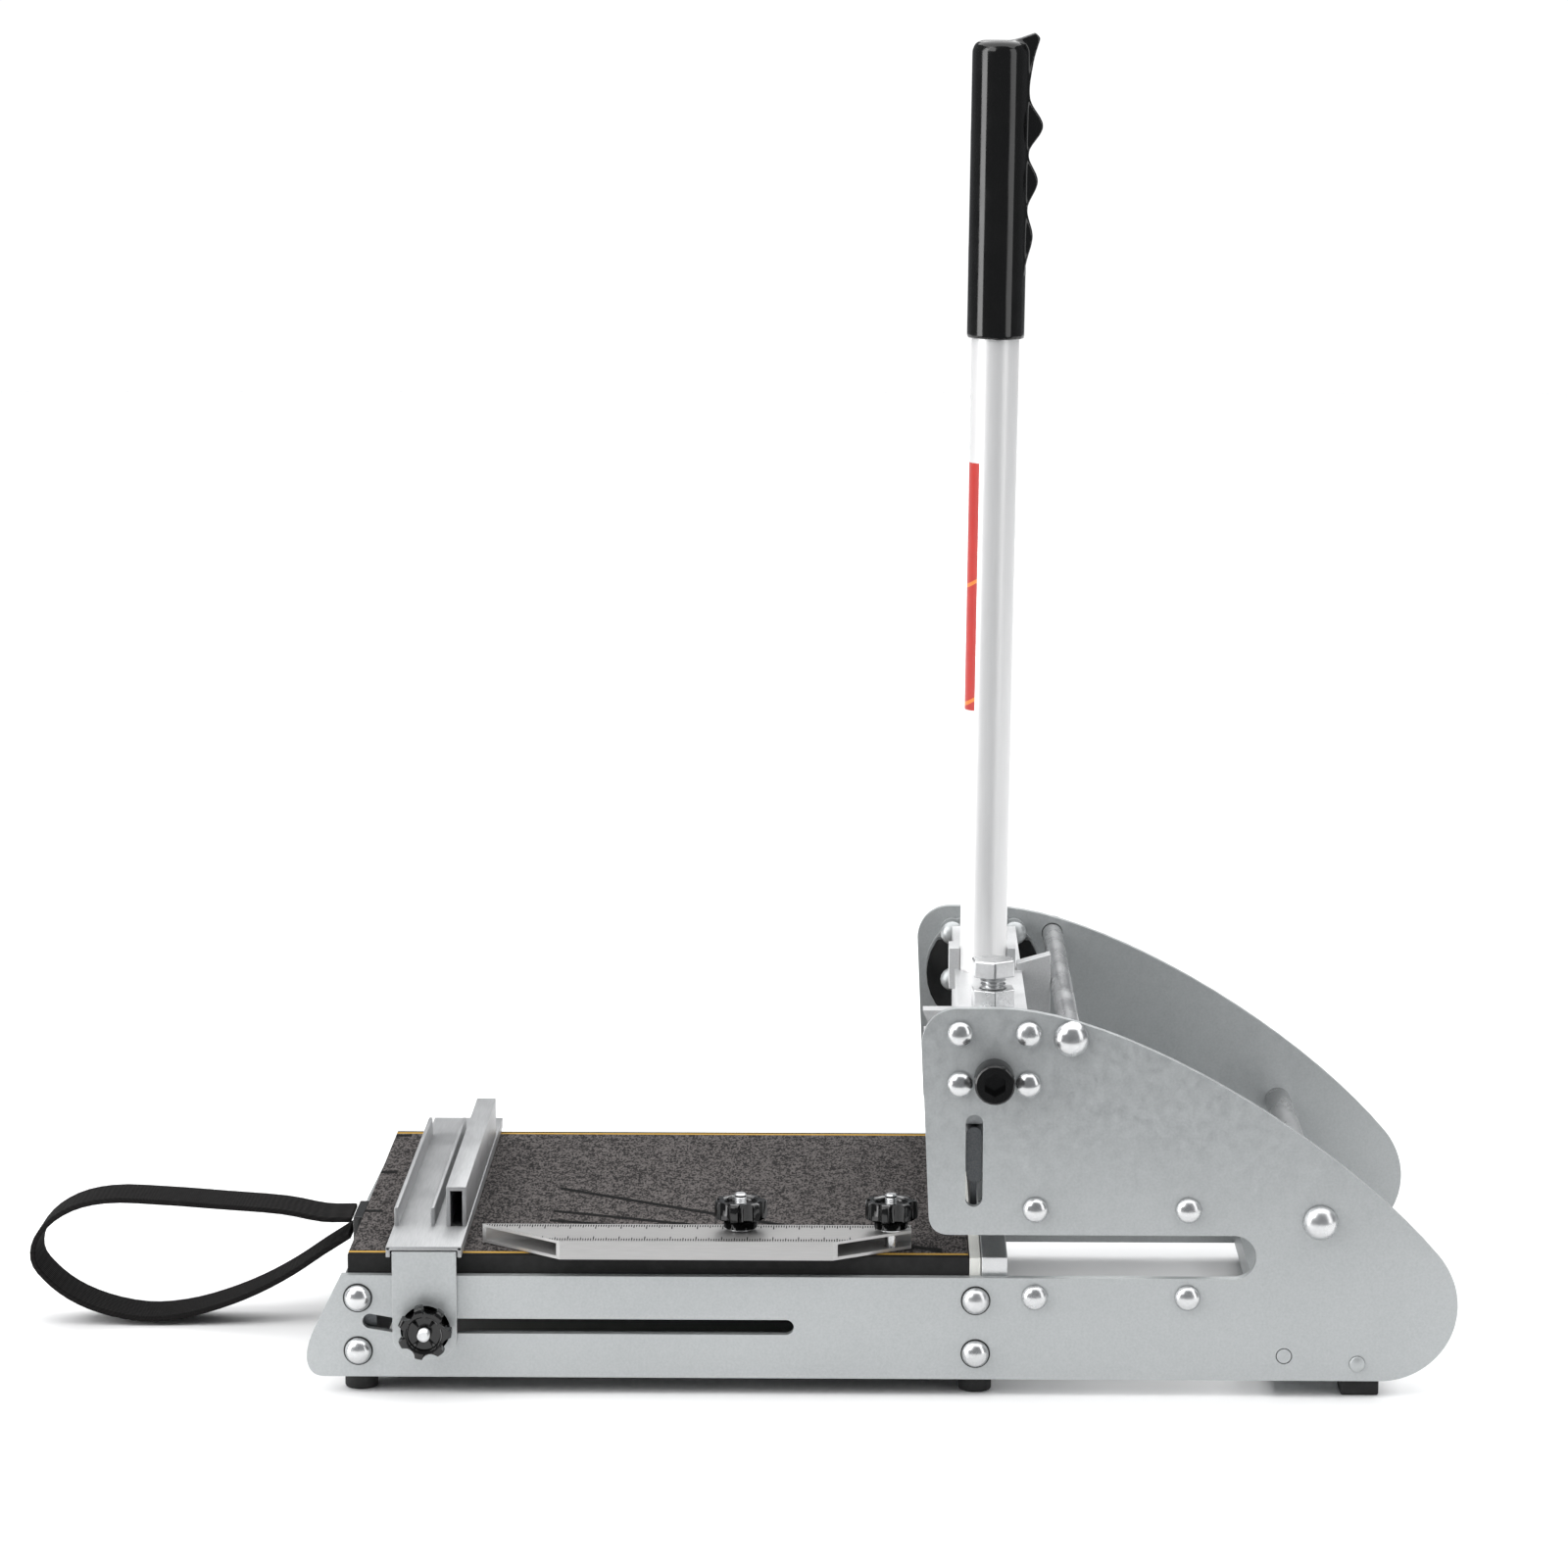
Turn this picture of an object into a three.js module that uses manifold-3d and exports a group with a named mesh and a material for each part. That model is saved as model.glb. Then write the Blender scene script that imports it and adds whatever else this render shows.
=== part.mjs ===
// Bench tile cutter: a lever guillotine that chops vinyl tile and plank across its width.
// Millimetres, +Z up. Until the last lines x = 0 is the blade's cutting plane, y = 0 the middle of the
// machine and z = 0 the floor. -x is the infeed end, and -y is the near side.
import * as THREE from "three";
import { mergeVertices } from "three/addons/utils/BufferGeometryUtils.js";
import Module from "manifold-3d";

const wasm = await Module();
wasm.setup();

// ---------------------------------------------------------------- driving dimensions
const gap = 0.3; // between pieces that touch or seat
const sides = 16; // facets round a pin, a rivet or a hole

// Side plates
const clearWidth = 212; // between the two plates
const plateThickness = 4;
const plateLift = 7; // floor to the plates' lower edges
const frontReach = 260.8; // cutting plane to the infeed end
const rearReach = 188.6; // cutting plane to the rear end
const beamTop = 47.7;
const throatHeight = 17.3;
const throatDepth = 110; // cutting plane to the closed end of the throat
const jawTop = 154.8;
const jawFrontTop = 20.4; // how far the jaw's front edge stands ahead of the cutting plane
const jawFrontLow = 17.6;
const jawCornerRadius = 14;
const crownEnd = 8.9; // where the level top turns into the long back curve
const rearRadius = 30;

// Fence slot in the plates
const slotHeight = 6;
const slotLow = 24.5;
const slotFrontInset = 22.1; // behind the infeed end
const slotRearInset = 70; // ahead of the cutting plane
const slotRise = 1.8; // the slot's front end steps up by this much

// Fasteners across the plates
const cornerBoltRadius = 3;
const cornerHeadRadius = 5.3;
const cornerInset = 20.3;
const cornerUpperDrop = 4.55; // upper bolts below the board's underside
const cornerLowerZ = 17.4;
const midBoltX = 0.9;
const rivetRadius = 3;
const rivetHeadRadius = 5.05;
const rivetHeadHeight = 3.4;
const topRodRadius = 4.25;
const topRodAt = [37.3, 143.1];
const rearRodRadius = 5.5;
const rearRodShank = 4.25;
const rearRodAt = [134.7, 70.5];
const rodHeadRadius = 6.9;
const rodHeadHeight = 5;
const throatPinsX = [23.9, 83.4];
const upperPinsZ = 75.1;
const lowerPinsZ = 40.1;

// Lever, shaft and bearings
const pivotX = 7.6; // behind the cutting plane; also the lift of the cams per radian
const pivotZ = 127.5;
const shaftRadius = 7;
const pivotHoleRadius = 7.7;
const screwHeadRadius = 7.9;
const screwHeadLength = 12.7;
const screwHeadStandoff = 1;
const screwShankRadius = 5;
const screwDepth = 10;
const flangeThickness = 3;
const flangeRadius = 24.8;
const bushThickness = 6;
const bushRadius = 24.3;
const bushTop = 14.5; // flats on the bush, above and below the shaft
const bushBottom = 19.2;
const rivetPitch = [26.6, 20];
const rivetRise = 7.4; // centre of the four rivets above the shaft
const hubHalfWidth = 13.5;
const hubBelow = 13;
const hubAbove = 21.2;
const hubEndGap = 4.2; // between the hub's end and the bush
const socketTop = 30; // above the shaft
const socketWall = 3.4;
const gussetReach = 25.1;
const gussetThickness = 8;
const gussetRise = [24, 27.9];
const camThickness = 8;
const camStandoff = 2.8; // between the lever's socket and the cam on each side of it
const camCrown = 0.6; // the cams' upper edge above the shaft
const camLow = 15.5; // the cams' drop below the shaft at rest
const camSweep = THREE.MathUtils.degToRad(74.5);

// Handle
const tubeRadius = 9.5;
const tubeWall = 2;
const tubeOffset = -2.6;
const tubeLean = THREE.MathUtils.degToRad(0.78);
const tubeFoot = 9.2; // tube's foot above the shaft's axis
const gripFoot = 278;
const gripLength = 118;
const gripWall = 1.75;
const gripCap = 11;
const fingerPitch = 21.7;
const firstFinger = 41; // first ridge above the grip's foot
const ridgeWidth = 9;
const setScrewInset = 12.2; // inside the hub's ends, as the springs are
const setScrewRadius = 5;
const hexAcrossFlats = 16;
const lockNutHeight = 8;
const screwHeadGap = 5;
const hexHeadHeight = 6.6;

// Blade and its carrier
const bladeThickness = 2.5;
const bladeEdge = 64.6;
const bladeTop = 95;
const bladeEndGap = 4; // blade's ends to the plates
const carrierHalf = 5.6;
const carrierBottom = 86;
const ledgeReach = 24;
const ledgeHeight = 98;
const ledgeThickness = 4;
const guideSlotHalf = 3.35;
const guideSlotLow = 76.2;
const guideSlotHigh = 112.9;
const keyLow = 86;
const keyHigh = 107.7;
const springInset = 22.2;
const springRadius = 4.4;
const springWire = 1.2;
const springTurns = 4.5;

// Bars between the plates
const jawBarWidth = 20;
const jawBarHeight = 12.2;
const footBarWidth = 14;
const footBarBottom = 11;
const rearBar = { front: 72, rear: 28, low: 9, high: 20 };
const rearPins = { flushInset: 67.3, flushZ: 16.9, domeInset: 38.7, domeZ: 13.9, radius: 2.9 };
const stripThickness = 3;
const stripHeight = 10;
const stripOverhang = 8;

// Board and anvil
const boardTop = 55.2;
const boardThickness = 12;
const boardFrontInset = 16.1;
const boardRearX = -1.8;
const anvilStripWidth = 4.4;
const anvilStripDrop = 0.6; // below the board's top
const anvilBarWidth = 10.2;

// Fence
const fenceInset = 47.3; // stud behind the infeed end
const fenceFront = 15.6; // base ahead of and behind the stud
const fenceRear = 13.9;
const fenceOverhang = 2; // beyond the plates' outer faces
const fenceWall = 1.6;
const lipDepth = 2.7;
const finHeight = 7.6;
const ridgeHeight = 16;
const ridgeFrom = 5.4;
const ridgeInset = 32.5; // the upright walls stop short of the base's ends
const tabFront = 13.2;
const tabRear = 11.9;
const tabThickness = 2.2;
const tabBottom = 15.1;
const tabCorner = 9;
const tabFlange = 22;
const studRadius = 2.4;
const studZ = 27.8;
const studTip = 2.7;
const studHeadRadius = 4.5;

// Star knobs
const knobRadius = 10.6;
const knobLobes = 7;
const knobNotch = 1.7;
const knobNeckRadius = 6.6;
const knobNeck = 4;
const knobHead = 7;
const knobRecess = 2;

// Angle gauge
const gaugeWall = 1.2;
const gaugeHeight = 7.4;
const gaugeOverhang = 4; // beyond the near plate's outer face
const gaugeDepth = 27;
const gaugeFrontX = [-161.1, -54.8];
const gaugeBackX = [-193.1, -24.1];
const gaugeBlunt = 7.5; // the square part of the gauge's rear end
const gaugeBoltX = [-32.1, -91.1];
const gaugeBoltInset = 8.3; // bolts ahead of the gauge's back edge
const gaugeShoulder = 0.6;
const gaugeShoulderRadius = 5;

// Feet and strap
const footRadius = 6.5;
const footInset = 8; // foot's centre inside the plate
const rearFootLength = 15;
const rearFootWidth = 15;
const strapWidth = 25;
const strapThickness = 2.2;
const anchorThickness = 4.4;
const anchorHeight = 10;

// ---------------------------------------------------------------- places worked out from them
const frontX = -frontReach;
const rearX = rearReach;
const innerY = clearWidth / 2;
const outerY = innerY + plateThickness;
const seatY = innerY - gap;
const headSeatY = outerY + gap;
const throatTop = beamTop + throatHeight;
const boardBottom = boardTop - boardThickness;
const barTop = boardBottom - gap;
const cornerHeights = [boardBottom - cornerUpperDrop, cornerLowerZ];
const flangeY = seatY - flangeThickness;
const bushOuterY = flangeY - gap;
const bushInnerY = bushOuterY - bushThickness;
const hubHalfLength = bushInnerY - hubEndGap;
const carrierHalfWidth = hubHalfLength;
const bladeHalfWidth = innerY - bladeEndGap;
const fenceX = frontX + fenceInset;
const fenceBase = boardTop + gap + lipDepth;
const fenceTop = fenceBase + fenceWall;
const fenceHalf = outerY + fenceOverhang;
const tabInnerY = outerY + 0.8;
const tabOuterY = tabInnerY + tabThickness;
const gaugeFrontY = -outerY - gaugeOverhang;
const gaugeBackY = gaugeFrontY + gaugeDepth;
const gaugeBluntY = gaugeBackY - gaugeBlunt;
const gaugePivot = [gaugeBoltX[0], gaugeBackY - gaugeBoltInset];
const gaugeClamp = [gaugeBoltX[1], gaugeBackY - gaugeBoltInset];
const gaugeBottom = boardTop + gap;
const gaugeTop = gaugeBottom + gaugeHeight;
const gaugeKnobZ = gaugeTop + gap + gaugeShoulder + gap;

// ---------------------------------------------------------------- colours
const finishes = {
  plate: ["#b6bbbc", 0.45, 0.85],
  bright: ["#d9dcdc", 0.2, 1],
  alloy: ["#cfd1d0", 0.35, 0.9],
  black: ["#161718", 0.35, 0],
  rubber: ["#1c1c1c", 0.9, 0],
  board: ["#5d5654", 0.8, 0],
  darkSteel: ["#3c4143", 0.5, 0.8],
  nylon: ["#d4d4cd", 0.5, 0],
  webbing: ["#171616", 0.95, 0],
};

function finish(name) {
  const [color, roughness, metalness] = finishes[name];
  return new THREE.MeshStandardMaterial({ color, roughness, metalness });
}

// ---------------------------------------------------------------- solids
// A closed geometry as a solid that can be cut and joined.
function solid(geometry) {
  const loose = geometry.index ? geometry.toNonIndexed() : geometry;
  const bare = new THREE.BufferGeometry();
  bare.setAttribute("position", loose.getAttribute("position"));
  const merged = mergeVertices(bare, 1e-4);
  const index = merged.index.array;
  const corners = [];
  for (let i = 0; i < index.length; i += 3) {
    const [a, b, c] = index.slice(i, i + 3);
    if (a !== b && b !== c && c !== a) corners.push(a, b, c);
  }
  const vertProperties = merged.attributes.position.array;
  const triVerts = new Uint32Array(corners);
  return new wasm.Manifold(new wasm.Mesh({ numProp: 3, vertProperties, triVerts }));
}

function geometryOf(body) {
  const { vertProperties, triVerts } = body.getMesh();
  const geometry = new THREE.BufferGeometry();
  geometry.setAttribute("position", new THREE.BufferAttribute(vertProperties, 3));
  geometry.setIndex(new THREE.BufferAttribute(triVerts, 1));
  return geometry;
}

function join(...geometries) {
  return geometryOf(geometries.map(solid).reduce((a, b) => a.add(b)));
}

function cut(geometry, ...tools) {
  return geometryOf(tools.map(solid).reduce((a, b) => a.subtract(b), solid(geometry)));
}

const X = new THREE.Vector3(1, 0, 0);
const Y = new THREE.Vector3(0, 1, 0);
const Z = new THREE.Vector3(0, 0, 1);
const xzPlane = new THREE.Matrix4().makeBasis(X, Z, Y.clone().negate());

// A shape drawn in x and z, from one y to another.
function plateY(shape, low, high, curveSegments = sides / 2) {
  const options = { depth: high - low, bevelEnabled: false, curveSegments };
  return new THREE.ExtrudeGeometry(shape, options).applyMatrix4(xzPlane).translate(0, high, 0);
}

// A shape drawn in x and y, from one z to another.
function plateZ(shape, low, high, curveSegments = sides / 2) {
  const options = { depth: high - low, bevelEnabled: false, curveSegments };
  return new THREE.ExtrudeGeometry(shape, options).translate(0, 0, low);
}

function block(x0, x1, y0, y1, z0, z1) {
  const box = new THREE.BoxGeometry(x1 - x0, y1 - y0, z1 - z0);
  return box.translate((x0 + x1) / 2, (y0 + y1) / 2, (z0 + z1) / 2);
}

// A turned piece on the y axis. The profile is [radius, y] from its low end to its high end.
function turnedY(profile, facets = sides) {
  return new THREE.LatheGeometry(profile.map(([r, y]) => new THREE.Vector2(r, y)), facets);
}

function turnedZ(profile, facets = sides) {
  return turnedY(profile, facets).applyMatrix4(xzPlane);
}

function barY(radius, low, high, facets = sides) {
  return turnedY([[0, low], [radius, low], [radius, high], [0, high]], facets);
}

function barZ(radius, low, high, facets = sides) {
  return barY(radius, low, high, facets).applyMatrix4(xzPlane);
}

function circle(x, y, radius, Kind = THREE.Path) {
  return new Kind().absarc(x, y, radius, 0, 2 * Math.PI, false);
}

// Profile points of a domed head that rises from `seat` in the direction `way`.
function dome(seat, radius, height, way) {
  const steps = 4;
  const points = [];
  for (let i = 0; i <= steps; i++) {
    const turn = (i / steps) * (Math.PI / 2);
    points.push([i === steps ? 0 : radius * Math.cos(turn), seat + way * height * Math.sin(turn)]);
  }
  return way > 0 ? points : points.reverse();
}

// A bolt or rivet along y with a domed head at each end.
function domedPin(shank, low, high, headRadius, headHeight) {
  return turnedY([
    ...dome(low, headRadius, headHeight, -1),
    [shank, low],
    [shank, high],
    ...dome(high, headRadius, headHeight, 1),
  ]);
}

// ---------------------------------------------------------------- the scene
const cutter = new THREE.Group();

function add(name, geometry, finishName, parent = cutter) {
  const mesh = new THREE.Mesh(geometry, finish(finishName));
  mesh.name = name;
  parent.add(mesh);
  return mesh;
}

// Both flanks of the machine, drawn once for the far (+y) side.
const flanks = [
  { name: "near", group: new THREE.Group() },
  { name: "far", group: new THREE.Group() },
];
flanks[0].group.scale.y = -1;
for (const { group } of flanks) cutter.add(group);

function addPair(name, geometry, finishName) {
  return flanks.map((flank) => add(`${name}_${flank.name}`, geometry, finishName, flank.group));
}

// ---------------------------------------------------------------- side plates
function backCurve() {
  const turn = THREE.MathUtils.degToRad(40);
  const pull = 62;
  const end = new THREE.Vector2(
    rearX - rearRadius * (1 - Math.cos(turn)),
    plateLift + rearRadius * (1 + Math.sin(turn)),
  );
  return new THREE.CubicBezierCurve(
    end,
    new THREE.Vector2(end.x - pull * Math.sin(turn), end.y + pull * Math.cos(turn)),
    new THREE.Vector2(crownEnd + 47, jawTop),
    new THREE.Vector2(crownEnd, jawTop),
  );
}

function sidePlateShape() {
  const throatEnd = throatHeight / 2;
  const shape = new THREE.Shape();
  shape.moveTo(frontX + 7, plateLift);
  shape.lineTo(rearX - rearRadius, plateLift);
  const corner = backCurve();
  shape.absarc(
    rearX - rearRadius,
    plateLift + rearRadius,
    rearRadius,
    -Math.PI / 2,
    THREE.MathUtils.degToRad(40),
    false,
  );
  for (const point of corner.getPoints(20).slice(1)) shape.lineTo(point.x, point.y);
  shape.lineTo(jawCornerRadius - jawFrontTop, jawTop);
  shape.absarc(
    jawCornerRadius - jawFrontTop,
    jawTop - jawCornerRadius,
    jawCornerRadius,
    Math.PI / 2,
    Math.PI,
    false,
  );
  shape.lineTo(-jawFrontLow, throatTop + 8);
  shape.quadraticCurveTo(-jawFrontLow + 0.3, throatTop, -jawFrontLow + 8.4, throatTop);
  shape.lineTo(throatDepth - throatEnd, throatTop);
  shape.absarc(
    throatDepth - throatEnd,
    beamTop + throatEnd,
    throatEnd,
    Math.PI / 2,
    -Math.PI / 2,
    true,
  );
  shape.lineTo(frontX + 13.8, beamTop);
  shape.lineTo(frontX + 3.6, plateLift + 20);
  shape.quadraticCurveTo(frontX, plateLift + 13, frontX, plateLift + 7.5);
  shape.quadraticCurveTo(frontX + 0.4, plateLift, frontX + 7, plateLift);
  return shape;
}

function fenceSlot() {
  const radius = slotHeight / 2;
  const slotHigh = slotLow + slotHeight;
  const frontCentre = frontX + slotFrontInset + radius;
  const rearCentre = -slotRearInset - radius;
  const path = new THREE.Path();
  path.moveTo(frontCentre + 11, slotLow);
  path.lineTo(rearCentre, slotLow);
  path.absarc(rearCentre, slotLow + radius, radius, -Math.PI / 2, Math.PI / 2, false);
  path.lineTo(frontCentre + 10, slotHigh);
  path.lineTo(frontCentre, slotHigh + slotRise);
  path.absarc(frontCentre, slotLow + slotRise + radius, radius, Math.PI / 2, 1.5 * Math.PI, false);
  path.lineTo(frontCentre + 11, slotLow);
  return path;
}

function guideSlot() {
  const path = new THREE.Path();
  path.moveTo(guideSlotHalf, guideSlotLow + guideSlotHalf);
  path.lineTo(guideSlotHalf, guideSlotHigh - guideSlotHalf);
  path.absarc(0, guideSlotHigh - guideSlotHalf, guideSlotHalf, 0, Math.PI, false);
  path.lineTo(-guideSlotHalf, guideSlotLow + guideSlotHalf);
  path.absarc(0, guideSlotLow + guideSlotHalf, guideSlotHalf, Math.PI, 2 * Math.PI, false);
  return path;
}

const rivetPlaces = [-1, 1].flatMap((across) =>
  [-1, 1].map((up) => [
    pivotX + (across * rivetPitch[0]) / 2,
    pivotZ + rivetRise + (up * rivetPitch[1]) / 2,
  ]),
);

function plateHoles() {
  const pins = [
    ...cornerHeights.map((z) => [frontX + cornerInset, z, cornerBoltRadius]),
    ...cornerHeights.map((z) => [midBoltX, z, cornerBoltRadius]),
    ...throatPinsX.map((x) => [x, upperPinsZ, rivetRadius]),
    ...throatPinsX.map((x) => [x, lowerPinsZ, rivetRadius]),
    ...rivetPlaces.map(([x, z]) => [x, z, rivetRadius]),
    [...topRodAt, topRodRadius],
    [...rearRodAt, rearRodShank],
    [rearX - rearPins.flushInset, rearPins.flushZ, rearPins.radius],
    [rearX - rearPins.domeInset, rearPins.domeZ, rearPins.radius],
  ].map(([x, z, radius]) => circle(x, z, radius + gap));
  return [...pins, circle(pivotX, pivotZ, pivotHoleRadius), fenceSlot(), guideSlot()];
}

const plateShape = sidePlateShape();
plateShape.holes.push(...plateHoles());
addPair("side_plate", plateY(plateShape, innerY, outerY, sides), "plate");

// ---------------------------------------------------------------- bolts, rods and bars across
for (const [place, x] of [["front", frontX + cornerInset], ["mid", midBoltX]]) {
  for (const [level, z] of [["upper", cornerHeights[0]], ["lower", cornerHeights[1]]]) {
    const bolt = domedPin(cornerBoltRadius, -headSeatY, headSeatY, cornerHeadRadius, 3.8);
    add(`corner_bolt_${place}_${level}`, bolt, "bright").position.set(x, 0, z);
  }
}

const topRod = domedPin(topRodRadius, -headSeatY, headSeatY, rodHeadRadius, rodHeadHeight);
add("tie_rod_top", topRod, "bright").position.set(topRodAt[0], 0, topRodAt[1]);

const rearRod = join(
  domedPin(rearRodShank, -headSeatY, headSeatY, rodHeadRadius, rodHeadHeight),
  barY(rearRodRadius, -seatY, seatY),
);
add("tie_rod_rear", rearRod, "bright").position.set(rearRodAt[0], 0, rearRodAt[1]);

// A bar between the plates with a staked pin at each end.
function jawBar() {
  const halfWidth = jawBarWidth / 2;
  const halfHeight = jawBarHeight / 2;
  return join(
    block(-halfWidth, halfWidth, -seatY, seatY, -halfHeight, halfHeight),
    domedPin(rivetRadius, -headSeatY, headSeatY, rivetHeadRadius, rivetHeadHeight),
  );
}
add("jaw_bar_front", jawBar(), "plate").position.set(throatPinsX[0], 0, upperPinsZ);
add("jaw_bar_rear", jawBar(), "plate").position.set(throatPinsX[1], 0, upperPinsZ);

function footBar(boltX, ahead, behind) {
  const holes = cornerHeights.map((z) =>
    barY(cornerBoltRadius + gap, -innerY, innerY).translate(boltX, 0, z),
  );
  const bar = block(boltX - ahead, boltX + behind, -seatY, seatY, footBarBottom, barTop);
  return cut(bar, ...holes);
}
const footBarHalf = footBarWidth / 2;
const anvilReach = anvilStripWidth + anvilBarWidth - 3; // the middle bar carries the anvil too
add("cross_bar_front", footBar(frontX + cornerInset, footBarHalf, footBarHalf), "darkSteel");
add("cross_bar_mid", footBar(midBoltX, footBarHalf, anvilReach), "darkSteel");

function rearCrossBar() {
  const { flushInset, flushZ, domeInset, domeZ, radius } = rearPins;
  return join(
    block(rearX - rearBar.front, rearX - rearBar.rear, -seatY, seatY, rearBar.low, rearBar.high),
    barY(radius, -outerY, outerY).translate(rearX - flushInset, 0, flushZ),
    domedPin(radius, -headSeatY, headSeatY, radius + gap, 1.2).translate(rearX - domeInset, 0, domeZ),
  );
}
add("cross_bar_rear", rearCrossBar(), "plate");

// Thin stiffening strip riveted inside the beam, below the throat.
function throatStrip() {
  const half = stripHeight / 2;
  const from = throatPinsX[0] - stripOverhang;
  const to = throatPinsX[1] + stripOverhang;
  const inside = seatY - stripThickness;
  const rivet = domedPin(rivetRadius, inside - gap, headSeatY, rivetHeadRadius, rivetHeadHeight);
  return join(
    block(from, to, inside, seatY, lowerPinsZ - half, lowerPinsZ + half),
    ...throatPinsX.map((x) => rivet.clone().translate(x, 0, lowerPinsZ)),
  );
}
addPair("throat_strip", throatStrip(), "plate");

// ---------------------------------------------------------------- bearings and shaft
// A disc on the shaft's axis, cut level above and below it.
function flattedDisc(radius, top, bottom, low, high) {
  const disc = plateY(circle(pivotX, pivotZ, radius, THREE.Shape), low, high, 16);
  const reach = 2 * radius;
  return cut(
    disc,
    block(pivotX - reach, pivotX + reach, low - 1, high + 1, pivotZ + top, pivotZ + reach),
    block(pivotX - reach, pivotX + reach, low - 1, high + 1, pivotZ - reach, pivotZ - bottom),
  );
}

function shaftHole(low, high) {
  return barY(shaftRadius + gap, low, high, 24).translate(pivotX, 0, pivotZ);
}

function bearingFlange() {
  const insideHead = bushInnerY - gap;
  const rivet = domedPin(rivetRadius, insideHead, headSeatY, rivetHeadRadius, rivetHeadHeight);
  const ears = rivetPlaces.map(([x, z]) => barY(rivetHeadRadius, flangeY, seatY).translate(x, 0, z));
  const rivets = rivetPlaces.map(([x, z]) => rivet.clone().translate(x, 0, z));
  const disc = flattedDisc(flangeRadius, flangeRadius, bushBottom, flangeY, seatY);
  return cut(join(disc, ...ears, ...rivets), shaftHole(flangeY - 1, seatY + 1));
}
addPair("bearing_flange", bearingFlange(), "plate");

function bearingBush() {
  const rivetHoles = rivetPlaces.map(([x, z]) =>
    barY(rivetRadius + gap, bushInnerY - 1, bushOuterY + 1).translate(x, 0, z),
  );
  const disc = flattedDisc(bushRadius, bushTop, bushBottom, bushInnerY, bushOuterY);
  return cut(disc, shaftHole(bushInnerY - 1, bushOuterY + 1), ...rivetHoles);
}
addPair("bearing_bush", bearingBush(), "black");

const lever = new THREE.Group();
lever.position.set(pivotX, 0, pivotZ);
cutter.add(lever);

const shaftEnd = seatY - 1.7;
const boreFloor = shaftEnd - screwDepth - gap;
const boreRadius = screwShankRadius + gap;
const shaft = turnedY(
  [
    [0, -boreFloor],
    [boreRadius, -boreFloor],
    [boreRadius, -shaftEnd],
    [shaftRadius, -shaftEnd],
    [shaftRadius, shaftEnd],
    [boreRadius, shaftEnd],
    [boreRadius, boreFloor],
    [0, boreFloor],
  ],
  24,
);
add("pivot_shaft", shaft, "darkSteel", lever);

// Socket cap screw in the shaft's end, drawn for the far side.
function shaftScrew() {
  const head = outerY + screwHeadStandoff;
  const tip = shaftEnd - screwDepth;
  const socketRadius = 4.6;
  const socketDepth = 6;
  return turnedY(
    [
      [0, tip],
      [screwShankRadius, tip],
      [screwShankRadius, head],
      [screwHeadRadius, head],
      [screwHeadRadius, head + screwHeadLength],
      [socketRadius, head + screwHeadLength],
      [socketRadius, head + screwHeadLength - socketDepth],
      [0, head + screwHeadLength - socketDepth],
    ],
    24,
  );
}
for (const mesh of addPair("shaft_screw", shaftScrew(), "black")) {
  mesh.position.set(pivotX, 0, pivotZ);
}

// ---------------------------------------------------------------- lever
// A cam that lowers a flat-topped carrier by pivotX for each radian: an involute of that radius.
function camShape() {
  const shape = new THREE.Shape();
  const steps = 14;
  const start = THREE.MathUtils.degToRad(-80);
  const end = -Math.PI / 2 - camSweep;
  for (let i = 0; i <= steps; i++) {
    const normal = start + ((end - start) * i) / steps;
    const drop = camLow + pivotX * (-Math.PI / 2 - normal);
    const x = drop * Math.cos(normal) + pivotX * Math.sin(normal);
    const z = drop * Math.sin(normal) - pivotX * Math.cos(normal);
    if (i === 0) shape.moveTo(x, z);
    else shape.lineTo(x, z);
  }
  shape.lineTo(-hubHalfWidth, camCrown);
  shape.lineTo(0, camCrown);
  shape.lineTo(0, -hubBelow);
  return shape;
}

function gussetShape() {
  const shape = new THREE.Shape();
  shape.moveTo(hubHalfWidth - 2, 0);
  shape.lineTo(gussetReach, 4);
  shape.lineTo(gussetReach, gussetRise[1]);
  shape.lineTo(hubHalfWidth - 2, gussetRise[0]);
  return shape;
}

function leaning(geometry) {
  return geometry.rotateY(tubeLean).translate(tubeOffset, 0, 0);
}

function handleHub() {
  const socket = tubeRadius + gap + socketWall;
  const cams = [-1, 1].map((side) => {
    const middle = side * (socket + camStandoff + camThickness / 2);
    return plateY(camShape(), middle - camThickness / 2, middle + camThickness / 2);
  });
  const body = join(
    block(-hubHalfWidth, hubHalfWidth, -hubHalfLength, hubHalfLength, -hubBelow, hubAbove),
    block(tubeOffset - hubHalfWidth, tubeOffset + hubHalfWidth, -2, socket, hubAbove - 8, socketTop),
    plateY(gussetShape(), -gussetThickness / 2, gussetThickness / 2),
    ...cams,
  );
  const screwHoles = [-1, 1].map((side) =>
    barZ(setScrewRadius + gap, 0, hubAbove + 1).translate(0, side * (hubHalfLength - setScrewInset), 0),
  );
  return cut(
    body,
    barY(shaftRadius + gap, -hubHalfLength - 1, hubHalfLength + 1, 24),
    leaning(barZ(tubeRadius + gap, tubeFoot - gap, socketTop + 10, 24)),
    ...screwHoles,
  );
}
add("handle_hub", handleHub(), "alloy", lever);

const tubeTop = gripFoot + gripLength - gripCap - gap;
const tube = turnedZ(
  [
    [tubeRadius - tubeWall, tubeFoot],
    [tubeRadius, tubeFoot],
    [tubeRadius, tubeTop],
    [tubeRadius - tubeWall, tubeTop],
    [tubeRadius - tubeWall, tubeFoot],
  ],
  24,
);
add("handle_tube", leaning(tube), "alloy", lever);

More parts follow.
